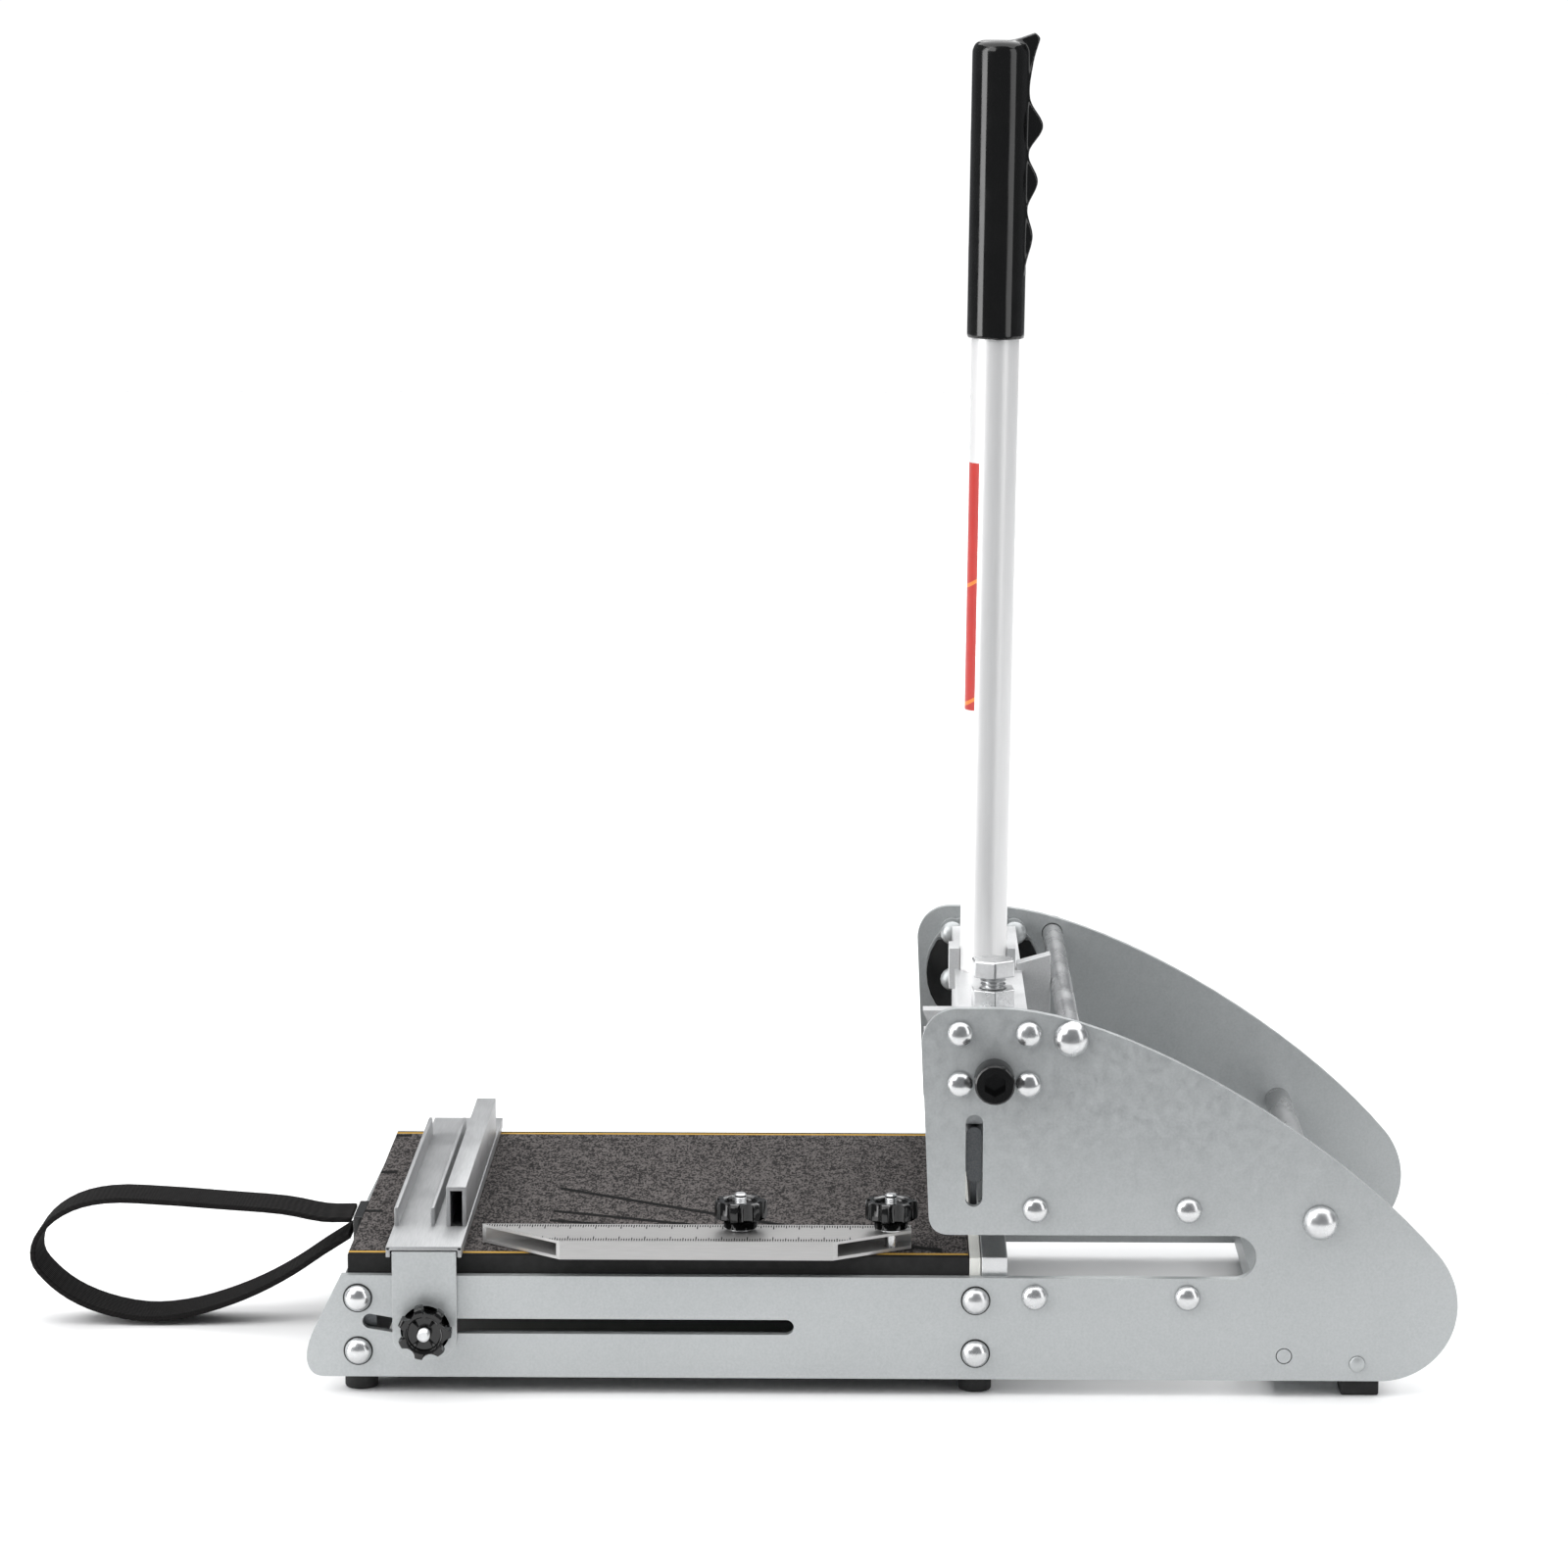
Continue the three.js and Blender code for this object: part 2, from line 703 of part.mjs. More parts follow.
// Finger ridges on the rear of the grip, with a hooked top.
function fingerShape() {
  const surface = tubeRadius + gap + gripWall;
  const crest = (i) => gripFoot + firstFinger + i * fingerPitch;
  const points = [new THREE.Vector2(surface - 1.5, gripFoot + 20)];
  for (let i = 0; i < 3; i++) {
    points.push(new THREE.Vector2(surface, crest(i) - fingerPitch / 2));
    points.push(new THREE.Vector2(surface + 2.4 + 1.65 * i, crest(i)));
  }
  points.push(new THREE.Vector2(surface + 0.2, crest(2) + fingerPitch / 2));
  points.push(new THREE.Vector2(surface + 1.2, gripFoot + gripLength - 9));
  points.push(new THREE.Vector2(surface + 3.9, gripFoot + gripLength + 1));
  const shape = new THREE.Shape();
  const edge = new THREE.SplineCurve(points).getPoints(44);
  shape.moveTo(0, gripFoot + 20);
  for (const point of edge) shape.lineTo(point.x, point.y);
  shape.lineTo(surface + 2, gripFoot + gripLength + 3.2);
  shape.lineTo(surface - 4, gripFoot + gripLength + 1);
  shape.lineTo(0, gripFoot + gripLength - 1);
  return shape;
}

function handleGrip() {
  const outer = tubeRadius + gap + gripWall;
  const top = gripFoot + gripLength;
  const body = turnedZ(
    [[0, gripFoot], [outer, gripFoot], [outer, top - 4], [outer - 1.2, top - 1.2], [outer - 4, top], [0, top]],
    24,
  );
  const ridges = plateY(fingerShape(), -ridgeWidth / 2, ridgeWidth / 2);
  return cut(join(body, ridges), barZ(tubeRadius + gap, gripFoot - 1, tubeTop + gap, 24));
}
add("handle_grip", leaning(handleGrip()), "black", lever);

function hexagon(acrossFlats) {
  const corner = acrossFlats / 2 / Math.cos(Math.PI / 6);
  const shape = new THREE.Shape();
  for (let i = 0; i < 6; i++) {
    const turn = (i * Math.PI) / 3 + Math.PI / 7;
    shape[i ? "lineTo" : "moveTo"](corner * Math.cos(turn), corner * Math.sin(turn));
  }
  return shape;
}

const nutLow = hubAbove + gap;
const nutHigh = nutLow + lockNutHeight;
const headLow = nutHigh + screwHeadGap;
const setScrew = join(
  barZ(setScrewRadius, shaftRadius + gap, headLow + 1),
  plateZ(hexagon(hexAcrossFlats), headLow, headLow + hexHeadHeight),
);
const lockNut = cut(
  plateZ(hexagon(hexAcrossFlats), nutLow, nutHigh),
  barZ(setScrewRadius + gap, nutLow - 1, nutHigh + 1),
);
for (const [name, geometry] of [["set_screw", setScrew], ["lock_nut", lockNut]]) {
  for (const mesh of addPair(name, geometry, "bright")) {
    mesh.position.set(pivotX, hubHalfLength - setScrewInset, pivotZ);
  }
}

// ---------------------------------------------------------------- blade, carrier, keys, springs
const bladeHalf = bladeThickness / 2;
const bladeShape = new THREE.Shape(
  [
    [0, bladeEdge],
    [bladeHalf, bladeEdge + 3.4],
    [bladeHalf, bladeTop],
    [-bladeHalf, bladeTop],
    [-bladeHalf, bladeEdge + 3.4],
  ].map(([x, z]) => new THREE.Vector2(x, z)),
);
add("blade", plateY(bladeShape, -bladeHalfWidth, bladeHalfWidth), "darkSteel");

function carrierShape() {
  const top = pivotZ - camLow - gap;
  const groove = bladeHalf + gap;
  return new THREE.Shape(
    [
      [-carrierHalf, carrierBottom],
      [-groove, carrierBottom],
      [-groove, bladeTop + gap],
      [groove, bladeTop + gap],
      [groove, carrierBottom],
      [carrierHalf, carrierBottom],
      [carrierHalf, ledgeHeight],
      [ledgeReach, ledgeHeight],
      [ledgeReach, ledgeHeight + ledgeThickness],
      [carrierHalf, ledgeHeight + ledgeThickness],
      [carrierHalf, top],
      [-carrierHalf, top],
    ].map(([x, z]) => new THREE.Vector2(x, z)),
  );
}
add("blade_carrier", plateY(carrierShape(), -carrierHalfWidth, carrierHalfWidth), "plate");

function guideKeyShape() {
  const half = guideSlotHalf - gap;
  const shape = new THREE.Shape();
  shape.moveTo(half, keyLow + half);
  shape.lineTo(half, keyHigh - half);
  shape.absarc(0, keyHigh - half, half, 0, Math.PI, false);
  shape.lineTo(-half, keyLow + half);
  shape.absarc(0, keyLow + half, half, Math.PI, 2 * Math.PI, false);
  return shape;
}
const guideKey = plateY(guideKeyShape(), carrierHalfWidth + gap, outerY - 1);
addPair("guide_key", cut(guideKey, block(-2, 2, 0, bladeHalfWidth + gap, 80, bladeTop + gap)), "darkSteel");

class CoilCurve extends THREE.Curve {
  constructor(radius, low, high, turns) {
    super();
    Object.assign(this, { radius, low, high, turns });
  }
  getPoint(t, target = new THREE.Vector3()) {
    const turn = 2 * Math.PI * this.turns * t;
    const z = this.low + (this.high - this.low) * t;
    return target.set(this.radius * Math.cos(turn), this.radius * Math.sin(turn), z);
  }
}

function returnSpring() {
  const low = upperPinsZ + jawBarHeight / 2 + gap + springWire / 2 + 0.2;
  const high = ledgeHeight - gap - springWire / 2 - 0.2;
  const coil = new CoilCurve(springRadius, low, high, springTurns);
  const steps = Math.round(12 * springTurns);
  const wire = circle(0, 0, springWire / 2, THREE.Shape);
  const options = { steps, extrudePath: coil, curveSegments: 3 };
  return new THREE.ExtrudeGeometry(wire, options);
}
for (const mesh of addPair("return_spring", returnSpring(), "bright")) {
  mesh.position.set((throatPinsX[0] + ledgeReach) / 2 - jawBarWidth / 4, hubHalfLength - springInset, 0);
}

// ---------------------------------------------------------------- board and anvil
const boardBody = block(frontX + boardFrontInset, boardRearX, -seatY, seatY, boardBottom, boardTop);
const pivotHole = barZ(studRadius + gap, boardBottom - 1, boardTop + 1);
add("board", cut(boardBody, pivotHole.translate(gaugePivot[0], gaugePivot[1], 0)), "board");

const stripFrom = boardRearX + gap;
const stripTo = stripFrom + anvilStripWidth;
const strip = block(stripFrom, stripTo, -seatY, seatY, boardBottom, boardTop - anvilStripDrop);
add("anvil_strip", strip, "nylon");
const anvil = [stripTo + gap, stripTo + gap + anvilBarWidth];
add("anvil_bar", block(...anvil, -seatY, seatY, boardBottom, boardTop - 0.2), "plate");

// ---------------------------------------------------------------- fence
const fence = new THREE.Group();
fence.position.x = fenceX;
cutter.add(fence);

function fenceExtrusion() {
  const wallHalf = fenceHalf - ridgeInset;
  const lipLow = boardTop + gap;
  const finTop = fenceTop + finHeight;
  const ridgeTop = fenceTop + ridgeHeight;
  const ridgeTo = fenceRear - 0.5;
  const ridge = block(ridgeFrom, ridgeTo, -wallHalf, wallHalf, fenceBase, ridgeTop);
  const hollow = block(
    ridgeFrom + fenceWall,
    ridgeTo - fenceWall,
    -fenceHalf,
    fenceHalf,
    fenceTop,
    ridgeTop - fenceWall,
  );
  const wall = (x, low, high, half) => block(x, x + fenceWall, -half, half, low, high);
  return join(
    block(-fenceFront, fenceRear, -fenceHalf, fenceHalf, fenceBase, fenceTop),
    wall(-fenceFront, lipLow, fenceTop, fenceHalf),
    wall(fenceRear - fenceWall, lipLow, fenceTop, fenceHalf),
    wall(-fenceFront + 0.4, fenceBase, finTop, wallHalf),
    wall(-0.8, fenceBase, finTop, wallHalf),
    cut(ridge, hollow),
  );
}
add("fence", fenceExtrusion(), "alloy", fence);

// Everything at one end of the fence, drawn for the far side.
function tabShape() {
  const shape = new THREE.Shape();
  shape.moveTo(-tabFront, fenceBase - gap);
  shape.lineTo(-tabFront, tabBottom + tabCorner);
  shape.absarc(-tabFront + tabCorner, tabBottom + tabCorner, tabCorner, Math.PI, 1.5 * Math.PI, false);
  shape.lineTo(tabRear - tabCorner, tabBottom);
  shape.absarc(tabRear - tabCorner, tabBottom + tabCorner, tabCorner, -Math.PI / 2, 0, false);
  shape.lineTo(tabRear, fenceBase - gap);
  shape.holes.push(circle(0, studZ, studRadius + gap));
  return shape;
}

function fenceBracket() {
  const flangeTop = fenceBase - gap;
  return join(
    plateY(tabShape(), tabInnerY, tabOuterY),
    block(-tabFront, tabRear, tabOuterY - tabFlange, tabOuterY, flangeTop - 2, flangeTop),
  );
}

const knobY = tabOuterY + gap;
const knobLength = knobNeck + knobHead;

function fenceStud() {
  const tip = knobY + knobLength + studTip;
  return turnedY([
    [0, innerY - 4.5],
    [studHeadRadius, innerY - 4.5],
    [studHeadRadius, innerY - 0.5],
    [studRadius, innerY - 0.5],
    [studRadius, tip - 0.6],
    [studRadius - 0.6, tip],
    [0, tip],
  ]);
}

// A star knob standing on z = 0, with a through hole and a dished top.
function starKnob() {
  const lobed = new THREE.Shape();
  const points = 6 * knobLobes;
  for (let i = 0; i < points; i++) {
    const turn = (2 * Math.PI * i) / points;
    const radius = knobRadius - (knobNotch / 2) * (1 - Math.cos(knobLobes * turn));
    lobed[i ? "lineTo" : "moveTo"](radius * Math.cos(turn), radius * Math.sin(turn));
  }
  const body = join(
    plateZ(lobed, knobNeck, knobLength),
    barZ(knobNeckRadius, 0, knobNeck + 1),
  );
  return cut(
    body,
    barZ(studRadius + gap, -1, knobLength + 1),
    barZ(knobNeckRadius, knobLength - knobRecess, knobLength + 1),
  );
}

for (const flank of flanks) {
  const end = new THREE.Group();
  end.position.x = fenceX;
  flank.group.add(end);
  add(`fence_bracket_${flank.name}`, fenceBracket(), "plate", end);
  add(`fence_stud_${flank.name}`, fenceStud(), "bright", end).position.z = studZ;
  const knob = add(`fence_knob_${flank.name}`, starKnob(), "black", end);
  knob.rotation.x = -Math.PI / 2;
  knob.position.set(0, knobY, studZ);
}

// ---------------------------------------------------------------- angle gauge
function gaugeShape() {
  return new THREE.Shape(
    [
      [gaugeFrontX[0], gaugeFrontY],
      [gaugeFrontX[1], gaugeFrontY],
      [gaugeBackX[1], gaugeBluntY],
      [gaugeBackX[1], gaugeBackY],
      [gaugeBackX[0], gaugeBackY],
    ].map(([x, y]) => new THREE.Vector2(x, y)),
  );
}

function angleGauge() {
  const hollow = block(
    gaugeBackX[0] - 1,
    gaugeBackX[1] + 1,
    gaugeFrontY + gaugeWall,
    gaugeBackY - gaugeWall,
    gaugeBottom + gaugeWall,
    gaugeTop - gaugeWall,
  );
  const holes = [gaugePivot, gaugeClamp].map(([x, y]) =>
    barZ(studRadius + gap, gaugeBottom - 1, gaugeTop + 1).translate(x, y, 0),
  );
  return cut(plateZ(gaugeShape(), gaugeBottom, gaugeTop), hollow, ...holes);
}
add("angle_gauge", angleGauge(), "alloy");

// A gauge bolt: its head from z to z + 2.6, then the shank, a shoulder on the gauge and the tip.
function gaugeBolt(headLowZ, headRadius) {
  const shoulder = gaugeTop + gap;
  const tip = gaugeKnobZ + knobLength + studTip;
  return turnedZ([
    [0, headLowZ],
    [headRadius, headLowZ],
    [headRadius, headLowZ + 2.6],
    [studRadius, headLowZ + 2.6],
    [studRadius, shoulder],
    [gaugeShoulderRadius, shoulder],
    [gaugeShoulderRadius, shoulder + gaugeShoulder],
    [studRadius, shoulder + gaugeShoulder],
    [studRadius, tip - 0.6],
    [studRadius - 0.6, tip],
    [0, tip],
  ]);
}

for (const [name, place, headZ] of [
  ["pivot", gaugePivot, boardBottom - gap - 2.6],
  ["clamp", gaugeClamp, gaugeBottom + gaugeWall + gap],
]) {
  const bolt = add(`gauge_${name}_bolt`, gaugeBolt(headZ, studHeadRadius), "bright");
  bolt.position.set(place[0], place[1], 0);
  const knob = add(`gauge_${name}_knob`, starKnob(), "black");
  knob.position.set(place[0], place[1], gaugeKnobZ);
}

// ---------------------------------------------------------------- feet
const roundFoot = turnedZ([
  [0, 0],
  [footRadius - 0.6, 0],
  [footRadius, 0.6],
  [footRadius, footBarBottom - gap],
  [0, footBarBottom - gap],
]);
for (const [place, x] of [["front", frontX + cornerInset], ["mid", midBoltX]]) {
  for (const mesh of addPair(`foot_${place}`, roundFoot, "rubber")) {
    mesh.position.set(x, innerY - footInset, 0);
  }
}
const rearFootX = rearX - rearPins.domeInset + 1.5;
const rearFoot = block(
  rearFootX - rearFootLength / 2,
  rearFootX + rearFootLength / 2,
  seatY - rearFootWidth,
  seatY,
  0,
  rearBar.low - gap,
);
addPair("foot_rear", rearFoot, "rubber");

// ---------------------------------------------------------------- carrying strap
// Middle line of the webbing loop in x and z, x counted from the infeed end of the plates.
const strapRoute = [
  [8, 45.3],
  [-4, 45.4],
  [-20, 48.4],
  [-45, 50.4],
  [-70, 52.2],
  [-92, 52.8],
  [-106, 49.8],
  [-116.5, 43.4],
  [-122.6, 34.8],
  [-123, 26.6],
  [-117, 18.6],
  [-107.5, 11.4],
  [-94, 5.8],
  [-78, 3],
  [-62, 4.4],
  [-46, 8.8],
  [-30, 15.4],
  [-16, 23.2],
  [-4, 31.4],
  [7.4, 38.7],
];

function strapLoop() {
  const line = new THREE.CatmullRomCurve3(
    strapRoute.map(([x, z]) => new THREE.Vector3(frontX + x, 0, z)),
    false,
    "centripetal",
  );
  const steps = 56;
  const edge = (way) =>
    Array.from({ length: steps + 1 }, (_, i) => {
      const point = line.getPoint(i / steps);
      const along = line.getTangent(i / steps);
      const off = (way * strapThickness) / 2;
      return new THREE.Vector2(point.x - along.z * off, point.z + along.x * off);
    });
  const shape = new THREE.Shape([...edge(1), ...edge(-1).reverse()]);
  return plateY(shape, -strapWidth / 2, strapWidth / 2);
}
add("strap", strapLoop(), "webbing");

const anchorRear = frontX + cornerInset - footBarWidth / 2 - gap;
const anchorMiddle = (strapRoute[0][1] + strapRoute.at(-1)[1]) / 2;
const anchor = block(
  anchorRear - anchorThickness + gap,
  anchorRear,
  -strapWidth / 2 - 1.5,
  strapWidth / 2 + 1.5,
  anchorMiddle - anchorHeight / 2,
  anchorMiddle + anchorHeight / 2,
);
add("strap_anchor", anchor, "black");

// ---------------------------------------------------------------- origin
// The origin is moved to the floor under the middle of the whole object.
const span = new THREE.Box3().setFromObject(cutter);
cutter.position.x = -(span.min.x + span.max.x) / 2;
cutter.position.y = -(span.min.y + span.max.y) / 2;

const tileCutter = new THREE.Group();
tileCutter.add(cutter);
export default tileCutter;
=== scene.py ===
"""Bench tile cutter: the finished look of each piece, built on the frame in metres, +Z up."""

from math import cos, pi, radians, sin, tan

import bpy
from mathutils import Matrix, Vector


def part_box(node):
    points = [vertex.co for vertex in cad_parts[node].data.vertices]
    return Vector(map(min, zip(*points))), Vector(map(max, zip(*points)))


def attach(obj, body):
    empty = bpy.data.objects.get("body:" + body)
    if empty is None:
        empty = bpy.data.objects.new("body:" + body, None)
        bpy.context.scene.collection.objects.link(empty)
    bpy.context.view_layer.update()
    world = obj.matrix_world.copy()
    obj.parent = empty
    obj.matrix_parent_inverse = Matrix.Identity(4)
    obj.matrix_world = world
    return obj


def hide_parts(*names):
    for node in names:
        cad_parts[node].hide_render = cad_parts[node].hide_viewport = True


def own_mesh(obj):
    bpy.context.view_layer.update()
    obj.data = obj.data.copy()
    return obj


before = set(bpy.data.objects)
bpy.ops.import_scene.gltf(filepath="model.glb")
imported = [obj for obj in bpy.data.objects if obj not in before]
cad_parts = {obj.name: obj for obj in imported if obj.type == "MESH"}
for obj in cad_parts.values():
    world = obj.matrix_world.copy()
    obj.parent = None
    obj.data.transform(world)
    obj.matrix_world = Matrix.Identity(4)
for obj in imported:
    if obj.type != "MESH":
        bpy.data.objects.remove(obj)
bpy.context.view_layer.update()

MM = 0.001
ROUND = 64  # corners round a turned piece


# ---------------------------------------------------------------- places, in millimetres
def corners(node):
    low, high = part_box(node)
    return Vector(low) / MM, Vector(high) / MM


def middle(node):
    low, high = corners(node)
    return (low + high) / 2


plate_low, plate_high = corners("side_plate_far")
outer = plate_high.y
inner = plate_low.y
infeed_x = plate_low.x
rear_x = plate_high.x
shaft = middle("pivot_shaft")
board_low, board_high = corners("board")
gauge_low, gauge_high = corners("angle_gauge")
seat_gap = 0.3
RIVET_HEAD = (5.05, 3.4)  # radius and height of a domed head
CORNER_HEAD = (5.3, 3.8)
ROD_HEAD = (6.9, 5.0)
CORNER_SHANK = 3.0
ROD_SHANK = 4.25
head_seat = outer + seat_gap
tube_offset = -2.6
tube_lean = radians(0.78)


# ---------------------------------------------------------------- modelling
def deselect():
    if bpy.context.mode != "OBJECT":
        bpy.ops.object.mode_set(mode="OBJECT")
    bpy.ops.object.select_all(action="DESELECT")


def pick(*pieces):
    deselect()
    for piece in pieces:
        piece.select_set(True)
    bpy.context.view_layer.objects.active = pieces[0]


def settle(piece):
    """Puts the piece's place and turn into its mesh."""
    pick(piece)
    bpy.ops.object.transform_apply(location=True, rotation=True, scale=True)


def add_modifier(piece, kind, **values):
    pick(piece)
    bpy.ops.object.modifier_add(type=kind)
    modifier = piece.modifiers[-1]
    for name, value in values.items():
        setattr(modifier, name, value)
    bpy.ops.object.modifier_apply(modifier=modifier.name)


def smooth(piece, angle=35):
    pick(piece)
    bpy.ops.object.shade_smooth_by_angle(angle=radians(angle))


def soften(piece, width, segments=2, angle=30, edge_material=-1):
    add_modifier(
        piece,
        "BEVEL",
        width=width * MM,
        segments=segments,
        limit_method="ANGLE",
        angle_limit=radians(angle),
        material=edge_material,
    )


def place(piece, name, materials, body, *nodes, slot=None):
    """Names a finished piece, gives it its materials and puts it on its body."""
    piece.name = name
    piece.data.name = name
    for number, material in enumerate(materials if isinstance(materials, list) else [materials]):
        if number < len(piece.data.materials):
            piece.data.materials[number] = material
        else:
            piece.data.materials.append(material)
    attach(piece, body)
    if nodes:
        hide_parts(*nodes)
    return piece


def turned(profile, along="Y", at=(0, 0, 0), corners_round=ROUND, hollow=False):
    """A piece turned on an axis. The profile is (radius, distance along the axis) in millimetres."""
    deselect()
    axis = {"X": Vector((1, 0, 0)), "Y": Vector((0, 1, 0)), "Z": Vector((0, 0, 1))}[along]
    turn = {"X": (0, pi / 2, 0), "Y": (pi / 2, 0, 0), "Z": (0, 0, 0)}[along]
    base = Vector(at) * MM
    radius, height = profile[0]
    bpy.ops.mesh.primitive_circle_add(
        vertices=corners_round,
        radius=radius * MM,
        location=base + axis * height * MM,
        rotation=turn,
        fill_type="NOTHING" if hollow else "NGON",
    )
    piece = bpy.context.object
    settle(piece)
    bpy.ops.object.mode_set(mode="EDIT")
    bpy.ops.mesh.select_all(action="SELECT")
    for next_radius, next_height in profile[1:]:
        step = axis * (next_height - height) * MM
        bpy.ops.mesh.extrude_edges_move(TRANSFORM_OT_translate={"value": step})
        if abs(next_radius - radius) > 1e-6:
            scale = next_radius / radius
            centre = base + axis * next_height * MM
            bpy.ops.transform.resize(value=(scale, scale, scale), center_override=centre)
        radius, height = next_radius, next_height
    if hollow:
        bpy.ops.mesh.select_all(action="SELECT")
        bpy.ops.mesh.remove_doubles(threshold=1e-6)
    else:
        bpy.ops.mesh.edge_face_add()
    bpy.ops.mesh.select_all(action="SELECT")
    bpy.ops.mesh.normals_make_consistent(inside=False)
    bpy.ops.object.mode_set(mode="OBJECT")
    return piece


def copied(node, edge, segments=2, angle=30, cuts=(), edge_material=-1, smooth_angle=35, flatten=True):
    """The frame's own shape of a node, merged, with its edges softened."""
    piece = bpy.data.objects.new(node + "_copy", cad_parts[node].data.copy())
    bpy.context.collection.objects.link(piece)
    piece.data.materials.clear()
    for _ in range(edge_material + 1):
        piece.data.materials.append(None)
    pick(piece)
    bpy.ops.mesh.customdata_custom_splitnormals_clear()
    bpy.ops.object.mode_set(mode="EDIT")
    bpy.ops.mesh.select_all(action="SELECT")
    bpy.ops.mesh.remove_doubles(threshold=2e-6)
    for point, outwards in cuts:
        bpy.ops.mesh.select_all(action="SELECT")
        bpy.ops.mesh.bisect(
            plane_co=Vector(point) * MM,
            plane_no=outwards,
            clear_outer=True,
            use_fill=True,
        )
    bpy.ops.mesh.select_all(action="SELECT")
    if flatten:
        bpy.ops.mesh.dissolve_limited(angle_limit=radians(1.5))
    bpy.ops.mesh.normals_make_consistent(inside=False)
    bpy.ops.object.mode_set(mode="OBJECT")
    if edge:
        soften(piece, edge, segments, angle, edge_material)
    smooth(piece, smooth_angle)
    if edge:
        add_modifier(piece, "WEIGHTED_NORMAL", weight=80, keep_sharp=True)
    return piece


def carve(piece, tool):
    add_modifier(piece, "BOOLEAN", object=tool, operation="DIFFERENCE", solver="EXACT")
    pick(tool)
    bpy.ops.object.delete()


def join(*pieces):
    pick(*pieces)
    bpy.ops.object.join()
    return bpy.context.object


def twin(piece):
    """A copy of a piece with its own mesh."""
    copy = piece.copy()
    copy.data = piece.data.copy()
    bpy.context.collection.objects.link(copy)
    return copy


# ---------------------------------------------------------------- materials
class Finish:
    """A principled material with a small kit for wiring patterns on Object coordinates."""

    def __init__(self, name, roughness, metallic, **sockets):
        self.material = bpy.data.materials.new(name)
        self.material.use_nodes = True
        self.nodes = self.material.node_tree.nodes
        self.links = self.material.node_tree.links
        self.shader = self.nodes["Principled BSDF"]
        self.shader.inputs["Roughness"].default_value = roughness
        self.shader.inputs["Metallic"].default_value = metallic
        for socket, value in sockets.items():
            self.shader.inputs[socket.replace("_", " ")].default_value = value
        self.place = self.nodes.new("ShaderNodeTexCoord").outputs["Object"]

    def wire(self, value, socket):
        if isinstance(value, bpy.types.NodeSocket):
            self.links.new(value, socket)
        else:
            socket.default_value = value

    def stretched(self, scale):
        node = self.nodes.new("ShaderNodeMapping")
        node.inputs["Scale"].default_value = scale
        self.links.new(self.place, node.inputs["Vector"])
        return node.outputs["Vector"]

    def noise(self, size, detail=3, vector=None):
        """Noise with features about this many millimetres across."""
        node = self.nodes.new("ShaderNodeTexNoise")
        node.inputs["Scale"].default_value = 1 / (size * MM)
        node.inputs["Detail"].default_value = detail
        self.links.new(vector or self.place, node.inputs["Vector"])
        return node.outputs["Fac"]

    def spread(self, value, low, high, to_low, to_high):
        node = self.nodes.new("ShaderNodeMapRange")
        self.wire(value, node.inputs["Value"])
        for socket, number in (
            ("From Min", low),
            ("From Max", high),
            ("To Min", to_low),
            ("To Max", to_high),
        ):
            node.inputs[socket].default_value = number
        return node.outputs["Result"]

    def mix(self, amount, first, second):
        node = self.nodes.new("ShaderNodeMix")
        node.data_type = "RGBA"
        self.wire(amount, node.inputs["Factor"])
        self.wire(first, node.inputs[6])
        self.wire(second, node.inputs[7])
        return node.outputs[2]

    def maths(self, operation, first, second=0.0, third=None):
        node = self.nodes.new("ShaderNodeMath")
        node.operation = operation
        self.wire(first, node.inputs[0])
        self.wire(second, node.inputs[1])
        if third is not None:
            self.wire(third, node.inputs[2])
        return node.outputs[0]

    def axes(self):
        node = self.nodes.new("ShaderNodeSeparateXYZ")
        self.links.new(self.place, node.inputs[0])
        return node.outputs[0], node.outputs[1], node.outputs[2]

    def within(self, value, low, high):
        """1 between two places in millimetres, 0 outside."""
        half = (high - low) / 2 * MM
        return self.maths("COMPARE", value, (low + high) / 2 * MM, half)

    def bump(self, height, strength, distance):
        node = self.nodes.new("ShaderNodeBump")
        node.inputs["Strength"].default_value = strength
        node.inputs["Distance"].default_value = distance * MM
        self.links.new(height, node.inputs["Height"])
        self.links.new(node.outputs["Normal"], self.shader.inputs["Normal"])

    def colour(self, value):
        self.wire(value, self.shader.inputs["Base Color"])

    def rough(self, value):
        self.wire(value, self.shader.inputs["Roughness"])


def grey(value, blue=0.0):
    return (value, value + blue / 2, value + blue, 1)


def metal(
    name,
    tone,
    roughness,
    grain=0.35,
    stretch=(1, 1, 1),
    spread=0.05,
    metallic=1.0,
    blue=0.01,
    relief=0.15,
):
    """Worked metal: a fine grain, soft cloudy wear and a slightly uneven sheen."""
    finish = Finish(name, roughness, metallic)
    fine = finish.noise(grain, 2, finish.stretched(stretch))
    clouds = finish.noise(22, 4)
    blend = finish.maths("ADD", finish.maths("MULTIPLY", fine, 0.6), finish.maths("MULTIPLY", clouds, 0.4))
    amount = finish.spread(blend, 0.3, 0.7, 0.0, 1.0)
    finish.colour(finish.mix(amount, grey(tone - spread, blue), grey(tone + spread, blue)))
    finish.rough(finish.spread(clouds, 0.3, 0.7, roughness - 0.06, roughness + 0.06))
    finish.bump(fine, relief, 0.05)
    return finish.material


def black_plastic():
    finish = Finish("glossy_black_plastic", 0.13, 0.0)
    cloud = finish.noise(9, 3)
    finish.colour(finish.mix(cloud, (0.002, 0.002, 0.002, 1), (0.005, 0.005, 0.005, 1)))
    finish.rough(finish.spread(cloud, 0.3, 0.7, 0.10, 0.17))
    finish.bump(finish.noise(1.1, 3), 0.05, 0.04)
    return finish.material


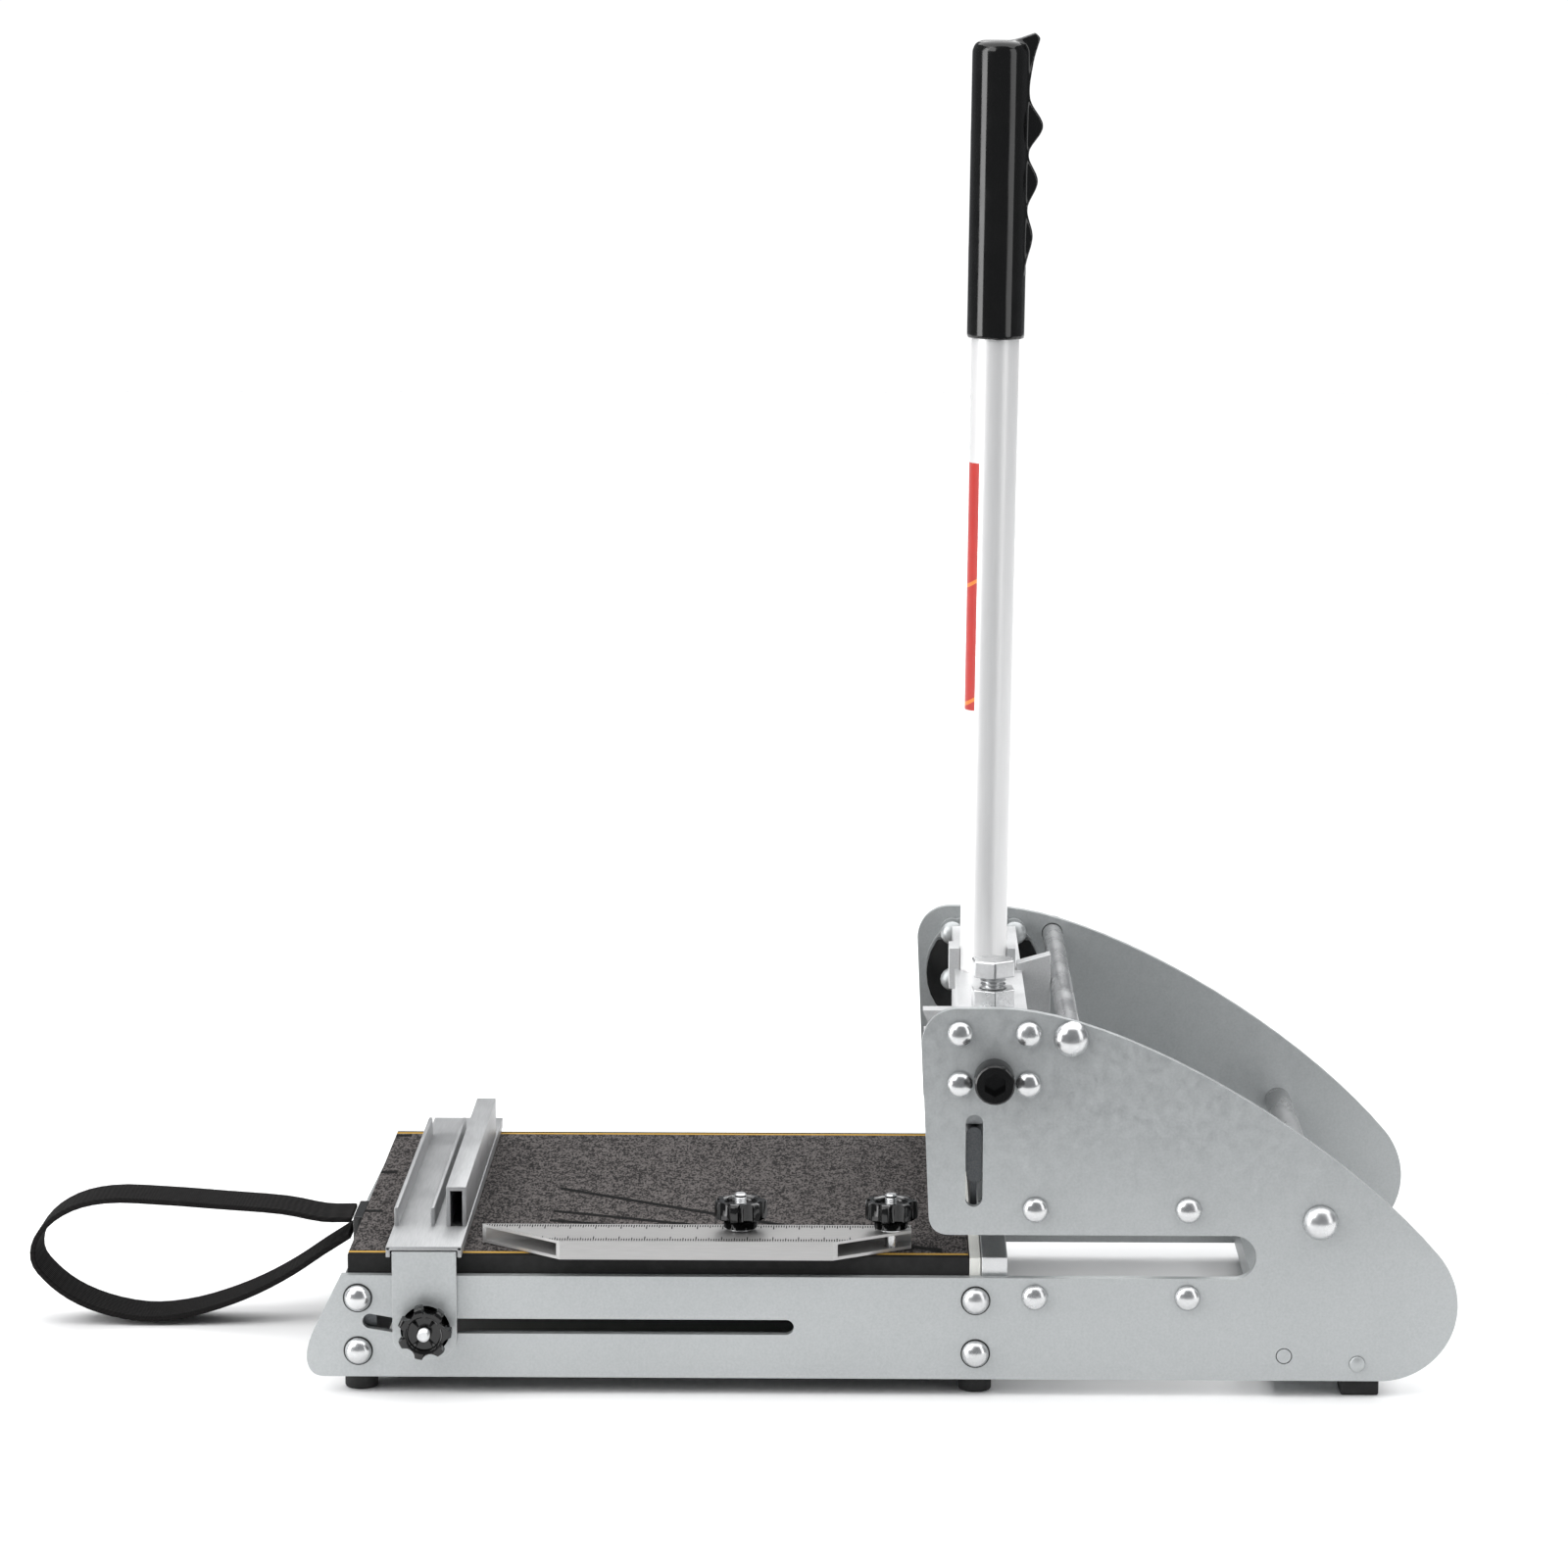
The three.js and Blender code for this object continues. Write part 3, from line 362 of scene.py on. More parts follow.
def matt_black(name, tone, roughness, grain):
    finish = Finish(name, roughness, 0.0)
    fine = finish.noise(grain, 3)
    finish.colour(finish.mix(fine, grey(tone * 0.6), grey(tone * 1.5)))
    finish.rough(finish.spread(finish.noise(8, 3), 0.3, 0.7, roughness - 0.08, roughness + 0.08))
    finish.bump(fine, 0.3, 0.08)
    return finish.material


def galvanised():
    """Plated sheet steel: a fine mottle over soft clouds, not quite a mirror."""
    finish = Finish("galvanised_sheet", 0.44, 0.62)
    fine = finish.noise(0.9, 3)
    spangle = finish.noise(3.2, 2)
    clouds = finish.noise(60, 3)
    blend = finish.maths("ADD", finish.maths("MULTIPLY", fine, 0.5), finish.maths("MULTIPLY", spangle, 0.25))
    blend = finish.maths("ADD", blend, finish.maths("MULTIPLY", clouds, 0.25))
    amount = finish.spread(blend, 0.32, 0.68, 0.0, 1.0)
    finish.colour(finish.mix(amount, (0.41, 0.427, 0.431, 1), (0.50, 0.518, 0.522, 1)))
    finish.rough(finish.spread(spangle, 0.3, 0.7, 0.36, 0.5))
    finish.bump(fine, 0.25, 0.05)
    return finish.material


def nylon():
    finish = Finish("pale_nylon", 0.42, 0.0)
    cloud = finish.noise(6, 3)
    finish.colour(finish.mix(cloud, (0.66, 0.66, 0.62, 1), (0.76, 0.76, 0.72, 1)))
    finish.bump(finish.noise(0.6, 2), 0.1, 0.05)
    return finish.material


def webbing():
    """Black ribbed webbing: ribs along the strap, crossed by a finer weft, with painted shade darkening the
    grooves between them.
    """
    finish = Finish("black_webbing", 0.9, 0.0, Specular_IOR_Level=0.1)
    low, high = corners("strap")
    centre = (low + high) / 2
    x, y, z = finish.axes()
    ribs = finish.maths("SINE", finish.maths("MULTIPLY", y, 2 * pi / (1.9 * MM)))
    away = finish.maths("SUBTRACT", x, centre.x * MM)
    up = finish.maths("SUBTRACT", z, centre.z * MM)
    round_loop = finish.maths("ARCTAN2", up, away)
    weft = finish.maths("SINE", finish.maths("MULTIPLY", round_loop, 190.0))
    height = finish.maths("ADD", ribs, finish.maths("MULTIPLY", weft, 0.5))
    # Painted shade: the colour follows the ribs' height, lighter on the crests and darker in the grooves.
    shade = finish.spread(height, -1.5, 1.5, 0.0, 1.0)
    dust = finish.noise(3, 4)
    thread = finish.mix(shade, (0.002, 0.002, 0.002, 1), (0.014, 0.013, 0.013, 1))
    finish.colour(finish.mix(finish.spread(dust, 0.5, 0.8, 0, 0.12), thread, (0.04, 0.038, 0.036, 1)))
    finish.bump(height, 0.6, 0.25)
    return finish.material


# Far ends of the three angle lines on the board, in millimetres from the gauge's pivot, and their slopes.
ANGLE_LINES = [((-135.7, 98.2), 33.0), ((-136.4, 60.1), 21.0), ((-136.9, 44.6), 15.8)]
BOARD_TICKS = [-102, -36.5, 30, 97]


def board_finish():
    """Dark laminated board: speckled top, near-black sides, an amber line along its long top edges."""
    finish = Finish("speckled_board", 0.78, 0.0, Specular_IOR_Level=0.08)
    x, y, z = finish.axes()
    speck = finish.noise(0.75, 3, finish.stretched((1, 0.35, 1)))
    blot = finish.noise(4, 3)
    grains = finish.spread(finish.maths("ADD", speck, finish.maths("MULTIPLY", blot, 0.35)), 0.58, 0.78, 0, 1)
    top = finish.mix(grains, (0.009, 0.008, 0.008, 1), (0.106, 0.096, 0.093, 1))
    pivot = middle("gauge_pivot_bolt")
    marks = 0.0
    for (far_x, far_y), slope in ANGLE_LINES:
        across = Vector((sin(radians(slope)), cos(radians(slope))))
        end = Vector((pivot.x + far_x, pivot.y + far_y))
        distance = finish.maths(
            "ADD",
            finish.maths("MULTIPLY", x, across.x),
            finish.maths("MULTIPLY", y, across.y),
        )
        level = across.dot(end)
        line = finish.within(distance, level - 1.9, level + 1.9)
        reach = finish.within(x, end.x, pivot.x + 20)
        marks = finish.maths("MAXIMUM", finish.maths("MULTIPLY", line, reach), marks)
    for tick in BOARD_TICKS:
        short = finish.maths(
            "MULTIPLY",
            finish.within(y, tick - 2.1, tick + 2.1),
            finish.within(x, board_low.x, board_low.x + 7),
        )
        marks = finish.maths("MAXIMUM", short, marks)
    top = finish.mix(marks, top, (0.002, 0.002, 0.002, 1))
    side = finish.mix(blot, (0.016, 0.016, 0.016, 1), (0.03, 0.03, 0.03, 1))
    from_middle = finish.maths("ABSOLUTE", y)
    amber = finish.within(from_middle, board_high.y - 5, board_high.y - 2.4)
    rim = finish.maths("GREATER_THAN", from_middle, (board_high.y - 2.4) * MM)
    top = finish.mix(amber, top, (0.40, 0.24, 0.05, 1))
    top = finish.mix(rim, top, (0.012, 0.011, 0.010, 1))
    level_top = finish.maths("GREATER_THAN", z, (board_high.z - 0.35) * MM)
    finish.colour(finish.mix(level_top, side, top))
    finish.rough(finish.spread(speck, 0.3, 0.7, 0.7, 0.85))
    finish.bump(speck, 0.25, 0.12)
    return finish.material


def gauge_finish():
    """Bright aluminium with a plain graduated scale along both long edges, and painted shade making its top
    face darker than its sides.
    """
    finish = Finish("graduated_aluminium", 0.38, 0.7)
    x, y, z = finish.axes()
    grain = finish.noise(0.5, 2, finish.stretched((0.05, 1, 1)))
    metal_tone = finish.mix(grain, grey(0.42, -0.01), grey(0.52, -0.01))
    level_top = finish.maths("GREATER_THAN", z, (gauge_high.z - 0.1) * MM)
    # Painted shade: the top face takes a darker grey than the front and back faces of the same metal.
    metal_tone = finish.mix(level_top, metal_tone, finish.mix(grain, grey(0.29, -0.01), grey(0.36, -0.01)))
    marks = 0.0
    for pitch, length in ((1, 3.2), (5, 4.6), (10, 6.4)):
        turns = finish.maths("FRACT", finish.maths("MULTIPLY", x, 1 / (pitch * MM)))
        line = finish.maths("LESS_THAN", turns, 0.42 / pitch)
        front = finish.within(y, gauge_low.y + 1, gauge_low.y + 1 + length)
        back = finish.within(y, gauge_high.y - 1 - length, gauge_high.y - 1)
        bands = finish.maths("MAXIMUM", front, back)
        marks = finish.maths("MAXIMUM", finish.maths("MULTIPLY", line, bands), marks)
    marks = finish.maths("MULTIPLY", marks, level_top)
    finish.colour(finish.mix(marks, metal_tone, (0.02, 0.02, 0.02, 1)))
    for socket, bare in (("Metallic", 0.6), ("Specular IOR Level", 0.5)):
        finish.wire(finish.maths("MULTIPLY_ADD", marks, -bare, bare), finish.shader.inputs[socket])
    finish.rough(finish.spread(finish.noise(15, 3), 0.3, 0.7, 0.36, 0.44))
    finish.bump(grain, 0.1, 0.03)
    return finish.material


LABEL_LOW = 256
LABEL_HIGH = 356


def tube_finish():
    """Satin tube with a plain red label down its infeed side and two small orange strokes on it."""
    finish = Finish("satin_tube", 0.38, 1.0)
    x, y, z = finish.axes()
    grain = finish.noise(0.7, 2, finish.stretched((1, 1, 0.04)))
    tone = finish.mix(grain, grey(0.80, -0.005), grey(0.86, -0.005))
    lean = finish.maths("MULTIPLY", finish.maths("SUBTRACT", z, shaft.z * MM), tan(tube_lean))
    axis_x = finish.maths("ADD", lean, (shaft.x + tube_offset) * MM)
    side = finish.maths("SUBTRACT", x, axis_x)
    facing = finish.maths("LESS_THAN", side, -5.6 * MM)
    label = finish.maths("MULTIPLY", facing, finish.within(z, LABEL_LOW, LABEL_HIGH))
    slant = finish.maths("SUBTRACT", z, finish.maths("MULTIPLY", side, 0.7))
    stroke_low = finish.within(slant, LABEL_LOW + 8, LABEL_LOW + 9.6)
    stroke_high = finish.within(slant, LABEL_LOW + 56, LABEL_LOW + 57.6)
    strokes = finish.maths("MULTIPLY", label, finish.maths("MAXIMUM", stroke_low, stroke_high))
    red = finish.mix(finish.noise(6, 3), (0.42, 0.02, 0.015, 1), (0.55, 0.03, 0.02, 1))
    printed = finish.mix(strokes, red, (0.75, 0.22, 0.03, 1))
    finish.colour(finish.mix(label, tone, printed))
    bare = finish.maths("MULTIPLY_ADD", label, -0.45, 0.45)
    finish.wire(bare, finish.shader.inputs["Metallic"])
    finish.rough(finish.spread(finish.noise(60, 2), 0.3, 0.7, 0.36, 0.4))
    finish.bump(grain, 0.08, 0.02)
    return finish.material


plate_metal = galvanised()
# Bare bright steel, the whole of the ground anvil bar; on the softened edges of the plates and brackets the
# same lighter steel is also a painted edge highlight.
bare_steel_and_edge_highlight = metal("bare_steel_and_painted_edge_highlight", 0.68, 0.3, grain=0.5, stretch=(1, 0.1, 1), spread=0.05)
bright_metal = metal("polished_steel", 0.62, 0.27, grain=1.3, metallic=0.92)
satin_alloy = metal(
    "satin_aluminium",
    0.37,
    0.43,
    grain=0.5,
    stretch=(1, 0.05, 1),
    spread=0.045,
    metallic=0.55,
)
hub_steel = metal("bare_welded_steel", 0.62, 0.4, grain=0.7, spread=0.06, metallic=0.6)
dark_metal = metal("oiled_steel", 0.10, 0.42, grain=0.6, spread=0.03)
gloss_black = black_plastic()
foot_rubber = matt_black("foot_rubber", 0.012, 0.75, 0.8)
pale_nylon = nylon()
strap_webbing = webbing()
board_top = board_finish()
gauge_metal = gauge_finish()
tube_metal = tube_finish()


# ---------------------------------------------------------------- heads and pins
def dome_rings(radius, height, seat, way, steps=9):
    """Rings of a domed head from its rim to its crown."""
    rings = []
    for i in range(steps + 1):
        turn = min(i / steps * pi / 2, radians(87))
        rings.append((radius * cos(turn), seat + way * height * sin(turn)))
    return rings


def domed_head(name, x, z, way, radius, height, body="frame"):
    """A domed head standing on a plate's outer face. way is -1 near and +1 far."""
    rim = [(radius - 0.25, way * head_seat), (radius, way * (head_seat + 0.2))]
    profile = rim + dome_rings(radius, height - 0.2, way * (head_seat + 0.2), way)[1:]
    piece = turned(profile, "Y", (x, 0, z))
    smooth(piece)
    return place(piece, name, bright_metal, body)


def domed_bolt(name, node, x, z, shank, radius, height):
    """A bolt or tie rod right through, with a domed head at each end."""
    near = [(r, -y) for r, y in reversed(dome_rings(radius, height, head_seat, 1))]
    far = dome_rings(radius, height, head_seat, 1)
    profile = near + [(shank, -head_seat), (shank, head_seat)] + far
    piece = turned(profile, "Y", (x, 0, z))
    smooth(piece)
    return place(piece, name, bright_metal, "frame", node, slot="bright_steel")


SIDES = (("near", -1), ("far", 1))
corner_places = {
    "corner_bolt_front_upper": middle("corner_bolt_front_upper"),
    "corner_bolt_front_lower": middle("corner_bolt_front_lower"),
    "corner_bolt_mid_upper": middle("corner_bolt_mid_upper"),
    "corner_bolt_mid_lower": middle("corner_bolt_mid_lower"),
}


def corner_bolts():
    for node, at in corner_places.items():
        domed_bolt(node + "_domed", node, at.x, at.z, CORNER_SHANK, *CORNER_HEAD)
        for side, way in SIDES:
            # A thin black ring, a little wider than the head, lies under each domed head and shows as a dark
            # rim round it.
            rim = [(5.75, way * outer), (5.75, way * head_seat), (4, way * head_seat)]
            ring = turned(rim, "Y", (at.x, 0, at.z))
            place(ring, f"{node}_ring_{side}", foot_rubber, "frame")


def tie_rods():
    at = middle("tie_rod_top")
    domed_bolt("tie_rod_top_turned", "tie_rod_top", at.x, at.z, ROD_SHANK, *ROD_HEAD)
    at = middle("tie_rod_rear")
    near = [(r, -y) for r, y in reversed(dome_rings(*ROD_HEAD, head_seat, 1))]
    far = dome_rings(*ROD_HEAD, head_seat, 1)
    seat = inner - seat_gap
    ease = 0.3
    sleeve = [
        (ROD_SHANK, -seat),
        (5.3, -seat),
        (5.5, ease - seat),
        (5.5, seat - ease),
        (5.3, seat),
        (ROD_SHANK, seat),
    ]
    profile = near + [(ROD_SHANK, -head_seat)] + sleeve + [(ROD_SHANK, head_seat)] + far
    piece = turned(profile, "Y", (at.x, 0, at.z))
    smooth(piece)
    place(piece, "tie_rod_rear_turned", bright_metal, "frame", "tie_rod_rear", slot="bright_steel")


def head_cuts(*ways):
    """Takes a copied bar's own domed ends off at the plate's outer face."""
    return [((0, way * head_seat, 0), (0, way, 0)) for way in ways]


def jaw_bars():
    for node in ("jaw_bar_front", "jaw_bar_rear"):
        at = middle(node)
        bar = copied(node, 0.5, cuts=head_cuts(-1, 1))
        place(bar, node + "_bar", plate_metal, "frame", node, slot="plate_grey")
        for side, way in SIDES:
            domed_head(f"{node}_rivet_{side}", at.x, at.z, way, *RIVET_HEAD)


def throat_strips():
    bars = [middle("jaw_bar_front").x, middle("jaw_bar_rear").x]
    for side, way in SIDES:
        node = f"throat_strip_{side}"
        strip = copied(node, 0.3, cuts=head_cuts(way))
        place(strip, node + "_bar", plate_metal, "frame", node, slot="plate_grey")
        for number, x in enumerate(bars, 1):
            domed_head(f"{node}_rivet_{number}", x, middle(node).z, way, *RIVET_HEAD)


RIVET_PITCH = (26.6, 20)
RIVET_RISE = 7.4


def bearings():
    places = [
        (shaft.x + across * RIVET_PITCH[0] / 2, shaft.z + RIVET_RISE + up * RIVET_PITCH[1] / 2)
        for across in (-1, 1)
        for up in (-1, 1)
    ]
    for side, way in SIDES:
        node = f"bearing_flange_{side}"
        flange = copied(node, 0.25, cuts=head_cuts(way))
        place(flange, node + "_plate", plate_metal, "frame", node, slot="plate_grey")
        for number, (x, z) in enumerate(places, 1):
            domed_head(f"{node}_rivet_{number}", x, z, way, *RIVET_HEAD)
        node = f"bearing_bush_{side}"
        bush = copied(node, 0.5)
        place(bush, node + "_block", gloss_black, "frame", node, slot="black_plastic")


# ---------------------------------------------------------------- plates and bars
def side_plates():
    for side, _ in SIDES:
        node = f"side_plate_{side}"
        # The softened edges take the lighter steel: the bare steel of the sheared edge, made brighter as a
        # painted highlight along the edges.
        piece = copied(node, 0.45, segments=3, edge_material=1)
        place(piece, node + "_cut", [plate_metal, bare_steel_and_edge_highlight], "frame", node, slot="plate_grey")


def cross_bars():
    for node in ("cross_bar_front", "cross_bar_mid"):
        piece = copied(node, 0.5)
        place(piece, node + "_bar", dark_metal, "frame", node, slot="dark_steel")
    piece = copied("cross_bar_rear", 0.5)
    place(piece, "cross_bar_rear_bar", plate_metal, "frame", "cross_bar_rear", slot="plate_grey")


def board_and_anvil():
    piece = copied("board", 0.3)
    place(piece, "board_top", board_top, "frame", "board", slot="board")
    piece = copied("anvil_strip", 0.4)
    place(piece, "anvil_strip_bar", pale_nylon, "frame", "anvil_strip", slot="nylon")
    piece = copied("anvil_bar", 0.5, segments=3)
    place(piece, "anvil_bar_ground", bare_steel_and_edge_highlight, "frame", "anvil_bar", slot="plate_grey")


# ---------------------------------------------------------------- blade
def blade_set():
    piece = copied("blade", 0.12)
    place(piece, "blade_ground", dark_metal, "blade", "blade", slot="dark_steel")
    piece = copied("blade_carrier", 0.4)
    place(piece, "blade_carrier_bar", plate_metal, "blade", "blade_carrier", slot="plate_grey")
    for side, _ in SIDES:
        node = f"guide_key_{side}"
        piece = copied(node, 0.3)
        place(piece, node + "_key", dark_metal, "blade", node, slot="dark_steel")


def coil(name, node):
    """A round wire coil between its own flat ends."""
    low, high = corners(node)
    wire = 0.6
    turns = 4
    centre = (low + high) / 2
    radius = (high.x - low.x) / 2 - wire
    rise = high.z - low.z - 2 * wire - 0.2
    deselect()
    bpy.ops.mesh.primitive_circle_add(
        vertices=14,
        radius=wire * MM,
        location=(centre.x * MM, centre.y * MM, (low.z + wire + 0.1) * MM),
        rotation=(pi / 2, 0, 0),
    )
    piece = bpy.context.object
    bpy.ops.object.transform_apply(location=False, rotation=True, scale=True)
    bpy.ops.object.mode_set(mode="EDIT")
    bpy.ops.mesh.select_all(action="SELECT")
    bpy.ops.transform.translate(value=(radius * MM, 0, 0))
    bpy.ops.object.mode_set(mode="OBJECT")
    add_modifier(
        piece,
        "SCREW",
        axis="Z",
        angle=2 * pi,
        screw_offset=rise / turns * MM,
        iterations=turns,
        steps=32,
        render_steps=32,
    )
    settle(piece)
    bpy.ops.object.mode_set(mode="EDIT")
    bpy.ops.mesh.select_all(action="SELECT")
    bpy.ops.mesh.remove_doubles(threshold=1e-7)
    bpy.ops.mesh.fill_holes(sides=0)
    bpy.ops.mesh.select_all(action="SELECT")
    bpy.ops.mesh.normals_make_consistent(inside=False)
    bpy.ops.object.mode_set(mode="OBJECT")
    smooth(piece, 50)
    place(piece, name, bright_metal, "frame", node, slot="bright_steel")
    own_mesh(piece)


# ---------------------------------------------------------------- lever
def lean_into_place(piece):
    """Stands a piece modelled on the z axis on the leaning tube's axis."""
    at = Vector((shaft.x + tube_offset, 0, shaft.z)) * MM
    piece.matrix_world = Matrix.Translation(at) @ Matrix.Rotation(tube_lean, 4, "Y")
    settle(piece)


TUBE_RADIUS = 9.5
TUBE_BORE = 7.6  # radius of the tube's hollow
TUBE_FOOT = 9.2  # the tube's foot above the shaft's axis


def tube():
    high = corners("handle_tube")[1]
    top = (high.z - shaft.z) / cos(tube_lean) - 0.1
    ease = 0.2
    wall = [
        (TUBE_BORE, TUBE_FOOT),
        (TUBE_RADIUS - ease, TUBE_FOOT),
        (TUBE_RADIUS, TUBE_FOOT + ease),
        (TUBE_RADIUS, top),
        (TUBE_BORE, top),
        (TUBE_BORE, TUBE_FOOT),
    ]
    piece = turned(wall, "Z", corners_round=96, hollow=True)
    lean_into_place(piece)
    smooth(piece)
    place(piece, "handle_tube_drawn", tube_metal, "handle", "handle_tube", slot="alloy")


def grip():
    piece = copied("handle_grip", 0)
    add_modifier(piece, "REMESH", mode="VOXEL", voxel_size=0.62 * MM)
    add_modifier(piece, "SMOOTH", factor=0.5, iterations=12)
    smooth(piece, 60)
    place(piece, "handle_grip_moulded", gloss_black, "handle", "handle_grip", slot="black_plastic")


def hub():
    piece = copied("handle_hub", 0.6, segments=3)
    place(piece, "handle_hub_welded", hub_steel, "handle", "handle_hub", slot="alloy")
    piece = copied("pivot_shaft", 0.2)
    place(piece, "pivot_shaft_turned", dark_metal, "handle", "pivot_shaft", slot="dark_steel")


def threads(radius, low, high, pitch=1.0):
    """Rings of a thread's crests and roots."""
    rings = []
    height = low
    while height < high - pitch:
        rings += [(radius, height), (radius - 0.45 * pitch, height + pitch / 2)]
        height += pitch
    return rings + [(radius, high)]


SET_SCREW_RADIUS = 5.0
SET_SCREW_HEAD = 6.6  # height of the hexagon head
SET_SCREW_PITCH = 1.5


def set_screws():
    for side, _ in SIDES:
        nut = f"lock_nut_{side}"
        piece = copied(nut, 0.6, segments=3)
        place(piece, nut + "_hexagon", bright_metal, "handle", nut, slot="bright_steel")
        screw = f"set_screw_{side}"
        at = middle(screw)
        low, high = corners(screw)
        head_low = high.z - SET_SCREW_HEAD
        head = copied(screw, 0.7, segments=3, cuts=[((0, 0, head_low), (0, 0, -1))])
        place(head, screw + "_head", bright_metal, "handle", screw, slot="bright_steel")
        rings = threads(SET_SCREW_RADIUS, low.z, head_low + 0.2, SET_SCREW_PITCH)
        shank = turned(rings, "Z", (at.x, at.y, 0), 40)
        smooth(shank, 20)
        place(shank, screw + "_thread", bright_metal, "handle")


SHAFT_SCREW_HEAD = 12.7  # length of the head
SHAFT_SCREW_DEPTH = 10  # how far the screw goes into the shaft
SOCKET_RADIUS = 4.6
SOCKET_DEPTH = 6


def shaft_screws():
    for side, way in SIDES:
        node = f"shaft_screw_{side}"
        face = outer + 1
        end = face + SHAFT_SCREW_HEAD
        tip = corners("pivot_shaft")[1].y - SHAFT_SCREW_DEPTH
        profile = [
            (4.6, tip),
            (5, tip + 0.5),
            (5, face),
            (7.6, face),
            (7.9, face + 0.3),
            (7.9, end - 1),
            (7.6, end - 0.35),
            (7.1, end),
            (4.7, end),
        ]
        piece = turned([(r, way * y) for r, y in profile], "Y", (shaft.x, 0, shaft.z))
        deselect()
        bpy.ops.mesh.primitive_cylinder_add(
            vertices=6,
            radius=SOCKET_RADIUS * MM,
            depth=2 * SOCKET_DEPTH * MM,
            location=(shaft.x * MM, way * end * MM, shaft.z * MM),
            rotation=(pi / 2, 0, 0),
        )
        carve(piece, bpy.context.object)
        smooth(piece, 30)
        place(piece, node + "_turned", gloss_black, "handle", node, slot="black_steel")


# ---------------------------------------------------------------- fence, gauge and knobs
KNOB_RADIUS = 10.6
KNOB_LOBES = 7


def knob_blank():
    """A star knob standing on z = 0: a dished disc on a neck, scalloped round its rim."""
    r = KNOB_RADIUS
    profile = [
        (2.7, 0),
        (6.3, 0),
        (6.6, 0.3),
        (6.6, 3.7),
        (7.2, 4),
        (r - 0.9, 4),
        (r - 0.25, 4.3),
        (r, 5),
        (r, 9.6),
        (r - 0.3, 10.5),
        (r - 1.1, 11),
        (7.3, 11),
        (6.6, 10.6),
        (6.3, 9.2),
        (2.7, 9),
        (2.7, 0),
    ]
    piece = turned(profile, "Z", corners_round=84, hollow=True)
    for lobe in range(KNOB_LOBES):
        turn = (lobe + 0.5) * 2 * pi / KNOB_LOBES
        deselect()
        bpy.ops.mesh.primitive_cylinder_add(
            vertices=40,
            radius=3.7 * MM,
            depth=20 * MM,
            location=((r + 1.2) * MM * cos(turn), (r + 1.2) * MM * sin(turn), 14 * MM),
        )
        carve(piece, bpy.context.object)
    soften(piece, 0.7, 3, 40)
    smooth(piece, 40)
    return piece


def knobs():
    blank = knob_blank()
    fence_low = corners("fence_knob_far")[0].y
    for side, way in SIDES:
        node = f"fence_knob_{side}"
        at = Vector((middle(f"fence_stud_{side}").x, way * fence_low, middle(f"fence_stud_{side}").z)) * MM
        knob = twin(blank)
        knob.matrix_world = Matrix.Translation(at) @ Matrix.Rotation(-way * pi / 2, 4, "X")
        settle(knob)
        place(knob, node + "_moulded", gloss_black, node, node, slot="black_plastic")
    for name in ("gauge_pivot", "gauge_clamp"):
        node = name + "_knob"
        bolt = middle(name + "_bolt")
        knob = twin(blank)
        knob.location = Vector((bolt.x, bolt.y, corners(node)[0].z)) * MM
        settle(knob)
        place(knob, node + "_moulded", gloss_black, node, node, slot="black_plastic")
    pick(blank)
    bpy.ops.object.delete()


STUD_RADIUS = 2.4
STUD_PITCH = 0.8
STUD_TIP = 1.8  # radius of a stud's chamfered end
BOLT_HEAD = 2.6  # height of a gauge bolt's head


def studs():
    for side, way in SIDES:
        node = f"fence_stud_{side}"
        low, high = corners("fence_stud_far")
        at = middle(node)
        profile = [
            (4.2, low.y),
            (4.5, low.y + 0.3),
            (4.5, inner - 0.8),
            (4.2, inner - 0.5),
            (STUD_RADIUS, inner - 0.5),
        ]
        profile += threads(STUD_RADIUS, outer - 6, high.y - 0.6, STUD_PITCH) + [(STUD_TIP, high.y)]
        piece = turned([(r, way * y) for r, y in profile], "Y", (at.x, 0, at.z), 40)
        smooth(piece, 20)
        place(piece, node + "_turned", bright_metal, "fence", node, slot="bright_steel")


def gauge_bolts():
    shoulder = gauge_high.z + seat_gap
    for name, body in (("gauge_pivot_bolt", "frame"), ("gauge_clamp_bolt", "gauge")):
        low, high = corners(name)
        at = middle(name)
        head = low.z + BOLT_HEAD
        profile = [(4.3, low.z), (4.5, low.z + 0.3), (4.5, head), (STUD_RADIUS, head)]
        profile += [(STUD_RADIUS, shoulder), (4.8, shoulder), (5, shoulder + 0.2), (5, shoulder + 0.6)]
        profile += [(STUD_RADIUS, shoulder + 0.6)]
        profile += threads(STUD_RADIUS, shoulder + 3, high.z - 0.6, STUD_PITCH) + [(STUD_TIP, high.z)]
        piece = turned(profile, "Z", (at.x, at.y, 0), 40)
        smooth(piece, 20)
        place(piece, name + "_turned", bright_metal, body, name, slot="bright_steel")


def bar(low, high, edge, segments=2):
    """A straight bar between two corners, with its edges eased."""
    deselect()
    low, high = Vector(low) * MM, Vector(high) * MM
    bpy.ops.mesh.primitive_cube_add(size=1, location=(low + high) / 2, scale=high - low)
    piece = bpy.context.object
    settle(piece)
    if edge:
        soften(piece, edge, segments)
    return piece


FENCE_WALL = 1.6
FENCE_FIN = 7.6
FENCE_RIDGE_INSET = 32.5
FENCE_RIDGE_HEIGHT = 16
RIDGE_FRONT = 8.5  # the ridge's front and rear faces, ahead of the base's rear edge
RIDGE_REAR = 0.5


